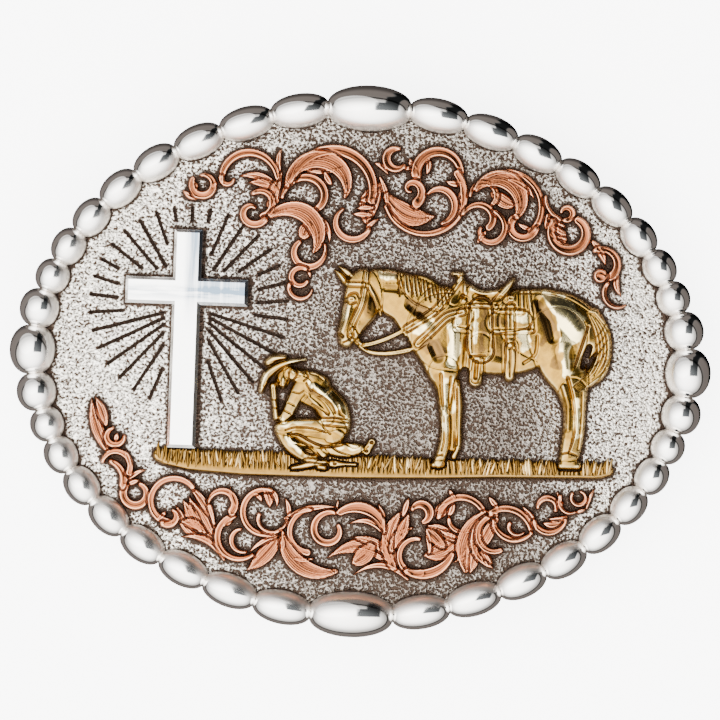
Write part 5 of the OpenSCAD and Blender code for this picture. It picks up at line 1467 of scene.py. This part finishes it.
@dataclass
class Grass:
    """The strip of grass: a low bank with blades standing in it."""

    top: float = -13.5
    ends: tuple[float, float] = (-29.0, 36.8)
    rise: float = 0.75
    rounding: float = 0.5
    tuft_pitch: float = 0.62
    blades: int = 250
    blade_width: float = 0.44
    cross_middle: float = -25.25
    cross_half: float = 2.15
    step: float = 0.12
    seed: int = 5

    def foot(self, x: np.ndarray) -> np.ndarray:
        """Lower edge of the grass at places along it."""
        return np.interp(x, GROUND_FOOT[:, 0], GROUND_FOOT[:, 1])

    def taken(self, places: np.ndarray, figures: Iterable[Relief]) -> np.ndarray:
        """Finds the places that are under a figure or the foot of the cross.

        Args:
            places: Rows of x and y.
            figures: The figures.

        Returns:
            True for each place that is.
        """
        out = (np.abs(places[:, 0] - self.cross_middle) < self.cross_half) & (places[:, 1] > self.top)
        for figure in figures:
            out |= figure.at(places, figure.height > 0.01 - figure.sunk) > 0
        return out

    def bank(self, figures: Iterable[Relief]) -> Relief:
        """Models the low bank under the blades, cut away round the feet that stand in it.

        Args:
            figures: The figures that stand in it.

        Returns:
            Its relief.
        """
        relief = Relief((-30.2, -18.2), (38.0, -12.2), self.step)
        x = np.linspace(self.ends[0] + 0.5, self.ends[1] - 0.4, 60)
        foot = self.foot(x)
        c = relief.chart(np.stack([x, (self.top + foot) / 2, self.top - foot - 0.1], 1))
        wander = 0.22 * np.sin(c.run * 1.7) + 0.12 * c.side
        tufts = waves((c.run + wander) / self.tuft_pitch - 0.25)
        body = relief.wall(c, self.rise, self.rounding)
        body -= 0.30 * tufts * soft(c.edge, 0.1, 0.5) * soft(c.side, -0.6, 0.2)
        relief.lay(c, body)
        x, y = np.meshgrid(relief.xs, relief.ys)
        taken = self.taken(np.column_stack([x.ravel(), y.ravel()]), figures)
        relief.height[taken.reshape(x.shape)] = -relief.sunk
        return relief

    def stand_blades(self, material: bpy.types.Material, figures: Sequence[Relief]) -> bpy.types.Object:
        """Stands tapered blades along the bank.

        Args:
            material: What they are made of.
            figures: The figures, which they keep clear of.

        Returns:
            The blades as one object.
        """
        draw = np.random.default_rng(self.seed)
        n = self.blades
        x = np.linspace(self.ends[0] + 0.2, self.ends[1] - 0.2, n) + draw.uniform(-0.12, 0.12, n)
        tall = draw.uniform(1.7, 2.7, n)
        y = self.top + draw.uniform(-0.25, 0.35, n) - tall / 2
        y = np.maximum(y, self.foot(x) + 0.45 + tall / 2)
        lean = draw.normal(-0.08, 0.2, n)
        z = face_height(x, y) + draw.uniform(0.5, 0.72, n)
        wide = self.blade_width * draw.uniform(0.7, 1.35, n)
        nod = draw.normal(0, 0.05, n)
        clear = np.ones(n, bool)
        for share in (-0.45, -0.2, 0.0, 0.2, 0.45):
            clear &= ~self.taken(np.column_stack([x - lean * share * tall, y + share * tall]), figures)
        places = np.stack([x, y, z], 1)[clear]
        sizes = np.stack([wide, tall, wide], 1)[clear]
        turns = np.stack([nod, np.zeros(n), lean], 1)[clear]
        tree = SpindleTree("grass_blades_tree", rings=8, sides=8, fullness=0.62, neck=0.06, along=Along.Y)
        obj = tree.grow("ground_blades", places, sizes, turns, material)
        points_each = len(obj.data.vertices) // len(places)
        for name, low, high in (("patina_and_shade", 0, 0.45), ("tone", -0.7, 0.6)):
            set_layer(obj, name, np.repeat(draw.uniform(low, high, len(places)), points_each))
        return obj

    def make(self, figures: Sequence[Relief]) -> Relief:
        """Builds the bank and its blades and seats them.

        Args:
            figures: The figures that stand in it.

        Returns:
            The bank's relief.
        """
        relief = self.bank(figures)
        metal = GRASS_GOLD.material()
        bank = relief.piece("ground_bank")
        dress(bank, metal)
        seat(bank, "gold", "ground")
        seat(self.stand_blades(metal, figures), "gold")
        return relief


class Along(Enum):
    """The axis that a spindle is long in."""

    Y = "Y"
    Z = "Z"


# The sizes that a spindle tree takes as inputs, and their kinds
SPINDLE_INPUTS = {"Rings": "Int", "Sides": "Int", "Fullness": "Float", "Neck": "Float"}


@dataclass
class SpindleTree:
    """A geometry-node tree that sets lemon-shaped bodies on points."""

    name: str
    rings: int
    sides: int
    fullness: float
    neck: float
    along: Along = Along.Z

    def _tree(self, material: bpy.types.Material) -> bpy.types.NodeTree:
        """Builds the tree with its sizes as named inputs.

        Args:
            material: What the bodies are made of.

        Returns:
            The tree.
        """
        g = Graph(bpy.data.node_groups.new(self.name, "GeometryNodeTree"))
        face = g.tree.interface
        face.new_socket("Geometry", in_out="INPUT", socket_type="NodeSocketGeometry")
        for label, kind in SPINDLE_INPUTS.items():
            socket = face.new_socket(label, in_out="INPUT", socket_type="NodeSocket" + kind)
            socket.default_value = getattr(self, label.lower())
        face.new_socket("Geometry", in_out="OUTPUT", socket_type="NodeSocketGeometry")
        given = g.tree.nodes.new("NodeGroupInput").outputs
        rings, sides, fullness, neck = (Wire(g, given[label]) for label in SPINDLE_INPUTS)
        start = Wire(g, given["Geometry"])

        # One body: a ball whose rings are drawn in towards the necks at its ends
        inputs = {"Segments": sides, "Rings": rings, "Radius": 0.5}
        ball = g.node("GeometryNodeMeshUVSphere", {}, inputs, "Mesh")
        x, y, z = g.split(g.node("GeometryNodeInputPosition", {}, {}))
        radius = (1.0 - z * z * 4.0).most(0.0) ** fullness * (0.5 - neck) + neck
        unit = g.node("ShaderNodeVectorMath", {"operation": "NORMALIZE"}, {0: g.join(x, y, 0.0)})
        ring = g.node("ShaderNodeVectorMath", {"operation": "SCALE"}, {0: unit, "Scale": radius})
        x, y, _ = g.split(ring)
        made = g.join(x, z, y) if self.along is Along.Y else g.join(x, y, z)
        body = g.node("GeometryNodeSetPosition", {}, {"Geometry": ball, "Position": made})
        if self.along is Along.Y:
            body = g.node("GeometryNodeFlipFaces", {}, {0: body})

        # A copy of it on each point, by the size and the turn stored there
        size, turn = (
            g.node("GeometryNodeInputNamedAttribute", {"data_type": "FLOAT_VECTOR"}, {"Name": label})
            for label in ("size", "turn")
        )
        turned = g.node("FunctionNodeEulerToRotation", {}, {0: turn})
        points = g.node("GeometryNodeMeshToPoints", {}, {"Mesh": start, "Radius": 0.001})
        inputs = {"Points": points, "Instance": body, "Rotation": turned, "Scale": size}
        copies = g.node("GeometryNodeInstanceOnPoints", {}, inputs)
        for kind in ("GeometryNodeRealizeInstances", "GeometryNodeSetShadeSmooth"):
            copies = g.node(kind, {}, {0: copies})
        dressed = g.node("GeometryNodeSetMaterial", {}, {"Geometry": copies, "Material": material})
        g.feed(g.tree.nodes.new("NodeGroupOutput").inputs[0], dressed)
        return g.tree

    def grow(
        self,
        name: str,
        places: np.ndarray,
        sizes: np.ndarray,
        turns: np.ndarray,
        material: bpy.types.Material,
    ) -> bpy.types.Object:
        """Sets the bodies on points and returns them as one plain mesh.

        Args:
            name: Name of the piece.
            places: Middles of the bodies, in millimetres.
            sizes: Their three sizes, in millimetres.
            turns: Their turns as Euler angles.
            material: What they are made of.

        Returns:
            The object, with no modifier left.
        """
        seed = mesh_piece(name + "_points", places, [], smooth=False)
        for label, values in (("size", sizes * MM), ("turn", turns)):
            layer = seed.data.attributes.new(label, "FLOAT_VECTOR", "POINT")
            layer.data.foreach_set("vector", np.asarray(values, np.float32).ravel())
        tree = self._tree(material)
        modifier = seed.modifiers.new("spindles", "NODES")
        modifier.node_group = tree
        for item in tree.interface.items_tree:
            if item.in_out == "INPUT" and item.name in SPINDLE_INPUTS:
                modifier[item.identifier] = getattr(self, item.name.lower())
        graph = bpy.context.evaluated_depsgraph_get()
        mesh = bpy.data.meshes.new_from_object(seed.evaluated_get(graph), depsgraph=graph)
        seed.modifiers.clear()
        bpy.data.objects.remove(seed)
        mesh.name = name
        obj = bpy.data.objects.new(name, mesh)
        bpy.context.scene.collection.objects.link(obj)
        return obj


class Bead(NamedTuple):
    """A bead's length along the oval, its width and how far it is set outside the oval."""

    length: float
    width: float
    out: float


# The beads of a quarter between the accents, from the side to the top
BEADS = [
    Bead(5.3, 5.8, 0.4), Bead(4.65, 5.0, 0.15), Bead(5.1, 4.9, 0.2), Bead(5.6, 4.9, 0.15),
    Bead(6.2, 4.9, 0.2), Bead(6.6, 4.9, 0.2), Bead(7.1, 4.9, 0.1), Bead(7.7, 4.9, 0.2), Bead(8.2, 5.0, 0.4),
]


@dataclass
class StrungBead:
    """A bead between two joints, the quarters that it is copied to, and its number of collars."""

    first: np.ndarray
    last: np.ndarray
    width: float
    quarters: Sequence[tuple[int, int]] = QUARTERS
    collars: int = 1


@dataclass
class BeadRim:
    """The ring of lemon-shaped beads round the plate."""

    length: float = 94.2
    width: float = 73.1
    side: Bead = Bead(6.8, 6.7, 0.6)
    top: Bead = Bead(11.8, 6.7, 0.35)
    lift: float = 0.3
    overlap: float = 0.25
    collar: tuple[float, float, float] = (1.76, 1.76, 0.74)
    seat_gap: float = 0.02

    def strung(self) -> list[StrungBead]:
        """Strings the beads of the first quarter.

        Returns:
            The beads from the side to the top, then the accents of the side and the top.
        """
        angles = np.radians(np.arange(91))
        line = np.array([oval_point(self.length, self.width, a) for a in angles])
        run = np.concatenate([[0], np.cumsum(np.hypot(*np.diff(line, axis=0).T))])
        lengths = [bead.length for bead in BEADS]
        total = self.side.length / 2 + sum(lengths) + self.top.length / 2
        marks = (self.side.length / 2 + np.cumsum([0, *lengths])) * run[-1] / total

        def joint(mark: float, out: float) -> np.ndarray:
            """Finds a joint's place.

            Args:
                mark: How far along the quarter it is.
                out: How far outside the oval it is.

            Returns:
                Its x, y and z.
            """
            angle = float(np.interp(mark, run, angles))
            x, y = oval_point(self.length + 2 * out, self.width + 2 * out, angle)
            return np.array([x, y, face_height(x, y) + self.lift])

        beads = [
            StrungBead(joint(start, bead.out), joint(end, bead.out), bead.width)
            for start, end, bead in zip(marks[:-1], marks[1:], BEADS)
        ]
        beads[-1].collars = 2
        side, top = joint(marks[0], self.side.out), joint(marks[-1], self.top.out)
        beads.append(StrungBead(side * [1, -1, 1], side, self.side.width, ((1, 1), (-1, 1)), 0))
        beads.append(StrungBead(top, top * [-1, 1, 1], self.top.width, ((1, 1), (1, -1)), 0))
        return beads

    def footprint(self) -> Relief:
        """Lays the beads' own outline on the face, for the patina and painted shade beside them.

        Returns:
            A relief of their outline.
        """
        relief = Relief((-51.5, -40.5), (51.5, 40.5), 0.2)
        t = np.linspace(-1, 1, 13)
        for bead in self.strung():
            middle, half = (bead.first + bead.last)[:2] / 2, (bead.last - bead.first)[:2] / 2
            width = bead.width * np.sqrt(1 - (0.72 * t) ** 2)
            for mirror in bead.quarters:
                axis = (middle + t[:, None] * 0.5 * half) * mirror
                c = relief.chart(np.column_stack([axis, width]))
                relief.lay(c, relief.wall(c, 1.0, 0.3))
        return relief

    def grow(self) -> tuple[bpy.types.Object, np.ndarray]:
        """Grows the beads and the collars of their joints.

        Returns:
            The object, and for each of its points whether a collar has it.
        """
        places, sizes, turns, is_collar = [], [], [], []
        for bead in self.strung():
            for mirror in bead.quarters:
                ends = [end * [*mirror, 1] for end in (bead.first, bead.last)]
                run = ends[1] - ends[0]
                places += [(ends[0] + ends[1]) / 2, *ends[: bead.collars]]
                sizes.append([bead.width, bead.width, np.linalg.norm(run) + self.overlap])
                sizes += [self.collar] * bead.collars
                turns += [list(Vector(run).to_track_quat("Z", "Y").to_euler())] * (1 + bead.collars)
                is_collar += [False] + [True] * bead.collars
        tree = SpindleTree("bead_rim_tree", rings=28, sides=36, fullness=0.51, neck=0.10)
        bodies = (np.array(places), np.array(sizes), np.array(turns))
        obj = tree.grow("bead_rim_beads", *bodies, BeadSilver().material())
        return obj, np.repeat(is_collar, len(obj.data.vertices) // len(places))

    def make(self) -> Relief:
        """Strings the beads round the plate, cuts them flat on the face and seats them.

        Returns:
            A relief of their outline.
        """
        obj, collar = self.grow()
        points = np.zeros(len(obj.data.vertices) * 3)
        obj.data.vertices.foreach_get("co", points)
        points = points.reshape(-1, 3) / MM
        lowest = face_height(points[:, 0], points[:, 1]) + self.seat_gap
        above = points[:, 2] - lowest
        points[:, 2] = np.maximum(points[:, 2], lowest)
        obj.data.vertices.foreach_set("co", (points * MM).ravel())
        obj.data.update()
        inner = in_oval(points, self.length / 2, self.width / 2)
        # Painted shade where the beads meet the plate, wider on their inner sides; the collars are dark
        # joints
        shade = soft(above, np.where(inner, 0.6, 0.3), -0.1)
        set_layer(obj, "patina_and_shade", np.maximum(shade, 0.62 * collar))
        # Painted warm reflection of the plate, with more haze, low on the beads' inner sides
        set_layer(obj, "tone", np.where(inner, soft(above, 3.0, 1.6), 0))
        seat(obj, "bright_silver", "bead_rim")
        return self.footprint()


@dataclass
class Plate:
    """The domed plate: stippled ground, engraved rays, hollow back."""

    outline_steps: int = 288
    pitch: float = 0.36
    scatter: float = 0.07
    stipple: float = 0.045
    rim_clear: float = 0.3
    ray_mid: tuple[float, float] = (-25.0, 7.0)
    ray_r: float = 14.5
    ray_w: float = 0.40
    ray_depth: float = 0.4
    ray_slope: float = 0.07
    ray_floor_share: float = 0.6
    ray_clear: float = 1.15
    ray_count: int = 34
    cross: tuple[Row, Row] = ((-27.3, -13.4, -23.2, 18.1), (-34.15, 7.275, -16.35, 11.125))
    back_pitch: float = 3.0
    back_clear: float = 1.0
    sharp_angle: float = math.radians(50)
    # Reach and strength of the patina and painted shade round the overlays
    halo_reach: float = 0.42
    halo_strength: float = 2.2
    seed: int = 11

    def rays(self) -> list[np.ndarray]:
        """Engraves the fan of rays round the cross, without those that its shaft would hide.

        Returns:
            For each ray its outline and then the outline of its floor.
        """
        rings = []
        for k in range(2, self.ray_count - 1):
            angle = math.radians(270 + 360 * k / self.ray_count)
            way = np.array([math.cos(angle), math.sin(angle)])
            start = max(self._leave(box, way) for box in self.cross)
            rings.append(self._bar(way, start, self.ray_r, 1))
            floor_end = self.ray_r - self.ray_slope
            rings.append(self._bar(way, start + self.ray_slope, floor_end, self.ray_floor_share))
        return rings

    def _leave(self, box: Row, way: np.ndarray) -> float:
        """Measures how far along a ray it leaves a bar of the cross and the clear margin round it.

        Args:
            box: The bar's low and high corner.
            way: The ray's direction.

        Returns:
            The distance from the middle of the fan.
        """
        spans = []
        for k in (0, 1):
            if abs(way[k]) > 1e-9:
                wall = box[2 + k] + self.ray_clear if way[k] > 0 else box[k] - self.ray_clear
                spans.append((wall - self.ray_mid[k]) / way[k])
        return min(spans)

    def _bar(self, way: np.ndarray, start: float, end: float, share: float) -> np.ndarray:
        """Outlines a bar with rounded ends along a ray.

        Args:
            way: The ray's direction.
            start: Where the bar starts, from the middle of the fan.
            end: Where it ends.
            share: Its width as a share of the ray's.

        Returns:
            Rows of x and y, turning left.
        """
        half = self.ray_w / 2
        left = np.array([-way[1], way[0]])
        angles = np.radians([-90, -45, 0, 45, 90])[:, None]
        rounding, side = half - half * np.cos(angles), share * half * np.sin(angles)
        far = way * (end - rounding) + left * side
        near = way * (start + rounding) - left * side
        return np.vstack([far, near]) + self.ray_mid

    def _cross_gap(self, places: np.ndarray) -> np.ndarray:
        """Measures how far places are from the cross.

        Args:
            places: Rows of x and y.

        Returns:
            The distance outside the nearer of its bars, below nought inside one.
        """
        x, y = places[:, 0], places[:, 1]
        gaps = [np.maximum.reduce([box[0] - x, x - box[2], box[1] - y, y - box[3]]) for box in self.cross]
        return np.minimum(*gaps)

    def _ground(self, draw: np.random.Generator) -> np.ndarray:
        """Scatters points over the ground, clear of the rim and of the rays' outlines.

        Args:
            draw: The random draws.

        Returns:
            Rows of x and y.
        """
        rows = []
        for k, y in enumerate(np.arange(-PLATE_W / 2, PLATE_W / 2, self.pitch * math.sqrt(3) / 2)):
            x = np.arange(-PLATE_L / 2 + (k % 2) * self.pitch / 2, PLATE_L / 2, self.pitch)
            rows.append(np.column_stack([x, np.full(len(x), y)]))
        grid = np.vstack(rows)
        grid += draw.uniform(-self.scatter, self.scatter, grid.shape)
        grid = grid[in_oval(grid, PLATE_L / 2 - self.rim_clear, PLATE_W / 2 - self.rim_clear)]
        offset = grid - self.ray_mid
        radius, angle = np.hypot(*offset.T), np.arctan2(offset[:, 1], offset[:, 0])
        step = 2 * np.pi / self.ray_count
        turn = (angle - 1.5 * np.pi) / step
        beside = np.abs(radius * np.sin((turn - np.round(turn)) * step))
        on_ray = (beside < self.ray_w / 2 + 0.1) & (radius < self.ray_r + 0.15) & (radius > 1.5)
        return grid[~on_ray | (self._cross_gap(grid) < self.ray_clear - 0.25)]

    def _back(self, outline: np.ndarray) -> tuple[np.ndarray, list[list[int]]]:
        """Models the hollow back.

        Args:
            outline: The plate's outline.

        Returns:
            Its points, the outline first, and its faces, which face down.
        """
        x, y = np.meshgrid(np.arange(-45, 46, self.back_pitch), np.arange(-36, 37, self.back_pitch))
        grid = np.column_stack([x.ravel(), y.ravel()])
        inside = in_oval(grid, PLATE_L / 2 - self.back_clear, PLATE_W / 2 - self.back_clear, 2)
        flat = np.vstack([outline, grid[inside]])
        z = DOME_Z + np.sqrt((DOME_R - PLATE_T) ** 2 - flat[:, 0] ** 2 - flat[:, 1] ** 2)
        faces = [face[::-1] for face in sheet(flat, loops([len(outline)]))]
        return np.column_stack([flat, z]), faces

    def _halo(self, places: np.ndarray, reliefs: Iterable[Relief]) -> np.ndarray:
        """Works out the patina and painted shade round the overlays and the cross and along the rim.

        Args:
            places: Rows of x and y.
            reliefs: The overlays.

        Returns:
            Its strength at each place, from nought to one.
        """
        # Patina and painted shade beside the cross
        dark = 0.9 * soft(self._cross_gap(places), 0.95, 0.1)
        for relief in reliefs:
            covered = blurred((relief.height > 0).astype(float), self.halo_reach / relief.step)
            dark = np.maximum(dark, self.halo_strength * relief.at(places, covered))
        return np.clip(dark, 0, 1)

    def make(self, reliefs: Iterable[Relief]) -> None:
        """Builds, dresses and seats the plate.

        Args:
            reliefs: The overlays, which darken the ground round them with patina and painted shade.
        """
        draw = np.random.default_rng(self.seed)
        angles = np.linspace(0, 2 * np.pi, self.outline_steps, endpoint=False)
        outline = np.array([oval_point(PLATE_L, PLATE_W, angle) for angle in angles])
        rings = [outline, *self.rays()]
        sizes = [len(ring) for ring in rings]
        carved = np.repeat([0.0] + [0.0, self.ray_depth] * (len(rings) // 2), sizes)
        flat = np.vstack([*rings, self._ground(draw)])
        lift = draw.uniform(-self.stipple, self.stipple, len(flat))
        lift[: len(carved)] = -carved
        top = np.column_stack([flat, face_height(flat[:, 0], flat[:, 1]) + lift])
        back, back_faces = self._back(outline)
        base, n = len(top), len(outline)
        edge = [[k, base + k, base + (k + 1) % n, (k + 1) % n] for k in range(n)]
        faces = sheet(flat, loops(sizes)) + [[base + v for v in face] for face in back_faces] + edge
        obj = mesh_piece("plate_face", np.vstack([top, back]), faces)
        obj.data.set_sharp_from_angle(angle=self.sharp_angle)
        dark = self._halo(flat, reliefs)
        dark[n : len(carved)] = 1.0
        set_layer(obj, "patina_and_shade", np.concatenate([dark, np.zeros(len(back))]))
        dress(obj, StippledSilver().material())
        seat(obj, "antique_silver", "plate")


@dataclass
class Studio:
    """Pale floor, soft light and a camera straight over the face."""

    turn: float = math.radians(2.1)
    span: float = 103.84
    distance: float = 1.1
    sensor: float = 36.0
    # How far the oval's middle falls right of the frame's middle and below it
    middle_px: tuple[float, float] = (0.3, 1.3)
    frame_px: int = 720
    floor_half: float = 0.6
    floor_light: Colour = (0.93, 0.93, 0.93, 1)
    floor_shade: Colour = (0.90, 0.90, 0.90, 1)
    # The tent's tiers: where each begins and ends by height, and the light that it adds
    tiers: Sequence[Row] = ((-1.0, -0.5, 0.20), (0.04, 0.14, -0.24), (0.2, 0.34, 1.0), (0.36, 1.2, 5.9))
    dimmest: float = 0.09
    glow_way: Row = (-0.20, 0.02, 0.98)
    # The dark port's two boxes: middle and half size of each, across and up
    port: Sequence[Row] = ((0.43, 0.18, 0.28, 0.31), (0.52, 0.67, 0.16, 0.20))
    port_edge: float = 0.05
    low_tint: Colour = (0.80, 0.70, 0.65, 1)
    high_tint: Colour = (1.0, 0.99, 0.97, 1)
    port_tint: Colour = (0.88, 0.95, 1.0, 1)
    key_from: Row = (-0.5, 0.4, 0.8)
    key_width: float = math.radians(80)
    key_strength: float = 1.2

    def floor(self) -> None:
        """Lays the floor."""
        half = self.floor_half / MM
        corners = np.array([[-half, -half, 0], [half, -half, 0], [half, half, 0], [-half, half, 0]])
        obj = mesh_piece("floor", corners, [[0, 1, 2, 3]], smooth=False)
        g = Finish("floor_paper")
        tint = g.mix(g.noise(30, 2) * 0.3, self.floor_light, self.floor_shade)
        dress(obj, g.finish(Base_Color=tint, Roughness=0.9, Emission_Color=tint, Emission_Strength=6.0))
        obj.visible_glossy = False

    def _port(self, x: Wire, y: Wire) -> Wire:
        """Shapes the dark port beside the camera.

        Args:
            x: Where a look goes, across.
            y: Where it goes, up.

        Returns:
            Nought inside the port and one outside it.
        """
        walls = []
        for middle_x, middle_y, half_x, half_y in self.port:
            across = (x - middle_x).size().ramp(half_x, half_x + self.port_edge)
            up = (y - middle_y).size().ramp(half_y, half_y + self.port_edge)
            walls.append(across.most(up))
        return walls[0].least(walls[1])

    def sky(self) -> None:
        """Lights the room: a bright tent, dim low down, with a dark port beside the camera."""
        world = bpy.data.worlds.new("studio")
        bpy.context.scene.world = world
        world.use_nodes = True
        g = Graph(world.node_tree)
        way = g.node("ShaderNodeTexCoord", {}, {}, "Generated")
        x, y, z = g.split(way)
        level = z - x * 0.12 - y * 0.5
        tent = sum((level.ramp(low, high) * light for low, high, light in self.tiers), self.dimmest)
        far = g.node("ShaderNodeVectorMath", {"operation": "DISTANCE"}, {0: way, 1: self.glow_way}, "Value")
        glow = (1.0 - far.ramp(0.05, 0.75)) * 1.1
        outside = self._port(x, y)
        bright = (tent * (1.0 - x * 0.12) + glow) * (outside * 0.95 + 0.05)
        tint = g.mix(level.ramp(-0.2, 0.6), self.low_tint, self.high_tint)
        back = world.node_tree.nodes["Background"]
        g.feed(back.inputs["Color"], g.mix(outside, self.port_tint, tint))
        g.feed(back.inputs["Strength"], bright)

    def lamp(self) -> None:
        """Hangs one soft lamp at the upper left."""
        data = bpy.data.lights.new("key", "SUN")
        data.angle, data.energy = self.key_width, self.key_strength
        lamp = bpy.data.objects.new("key", data)
        lamp.location = self.key_from
        lamp.rotation_euler = (-Vector(self.key_from)).to_track_quat("-Z", "Y").to_euler()
        bpy.context.scene.collection.objects.link(lamp)

    def camera(self) -> None:
        """Stands the camera over the face, rolled as the photograph is."""
        data = bpy.data.cameras.new("camera")
        data.sensor_width = self.sensor
        data.lens = self.sensor * self.distance / (self.span * MM)
        data.clip_start, data.clip_end = 0.05, 10.0
        cam = bpy.data.objects.new("camera", data)
        bpy.context.scene.collection.objects.link(cam)
        pixel = self.span * MM / self.frame_px
        right, down = self.middle_px[0] * pixel, self.middle_px[1] * pixel
        c, s = math.cos(self.turn), math.sin(self.turn)
        cam.location = (down * s - right * c, down * c + right * s, self.distance + FACE_Z * MM)
        cam.rotation_euler = (0, 0, self.turn)
        bpy.context.scene.camera = cam

    def make(self) -> None:
        """Sets up the whole studio."""
        self.floor()
        self.sky()
        self.lamp()
        self.camera()


def main() -> None:
    """Builds every sub-assembly in order."""
    logging.basicConfig(level=logging.INFO, format="%(name)s %(message)s")
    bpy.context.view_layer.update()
    scrolls = [
        Scroll("scroll_upper", UPPER_CURLS, UPPER_LEAVES, (-28.5, 7.0), (39.8, 33.0)).make(),
        Scroll("scroll_lower", LOWER_CURLS, LOWER_LEAVES, (-40.6, -33.0), (36.6, -4.8)).make(),
    ]
    horse = Horse("horse", HORSE_FORMS, HORSE_DETAIL, HORSE_PAINTED_REFLECTIONS, (-6.0, -17.0), (38.0, 15.5))
    cowboy = Figure(
        "cowboy", COWBOY_FORMS, COWBOY_DETAIL, COWBOY_PAINTED_REFLECTIONS, (-16.4, -17.4), (4.2, 2.4),
        step=0.085, blend=0.12, edge=0.66,
    )
    figures = [horse.make(), cowboy.make()]
    Plate().make([*scrolls, *figures, Grass().make(figures), BeadRim().make()])
    dress(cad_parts["cross"], BrushedCross().material())
    wire = PolishedSilver("nickel", bright=(0.74, 0.72, 0.69, 1), rough=0.22).material()
    for node in ("belt_loop", "prong"):
        dress(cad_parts[node], wire)
    Studio().make()


if __name__ == "__main__":
    main()
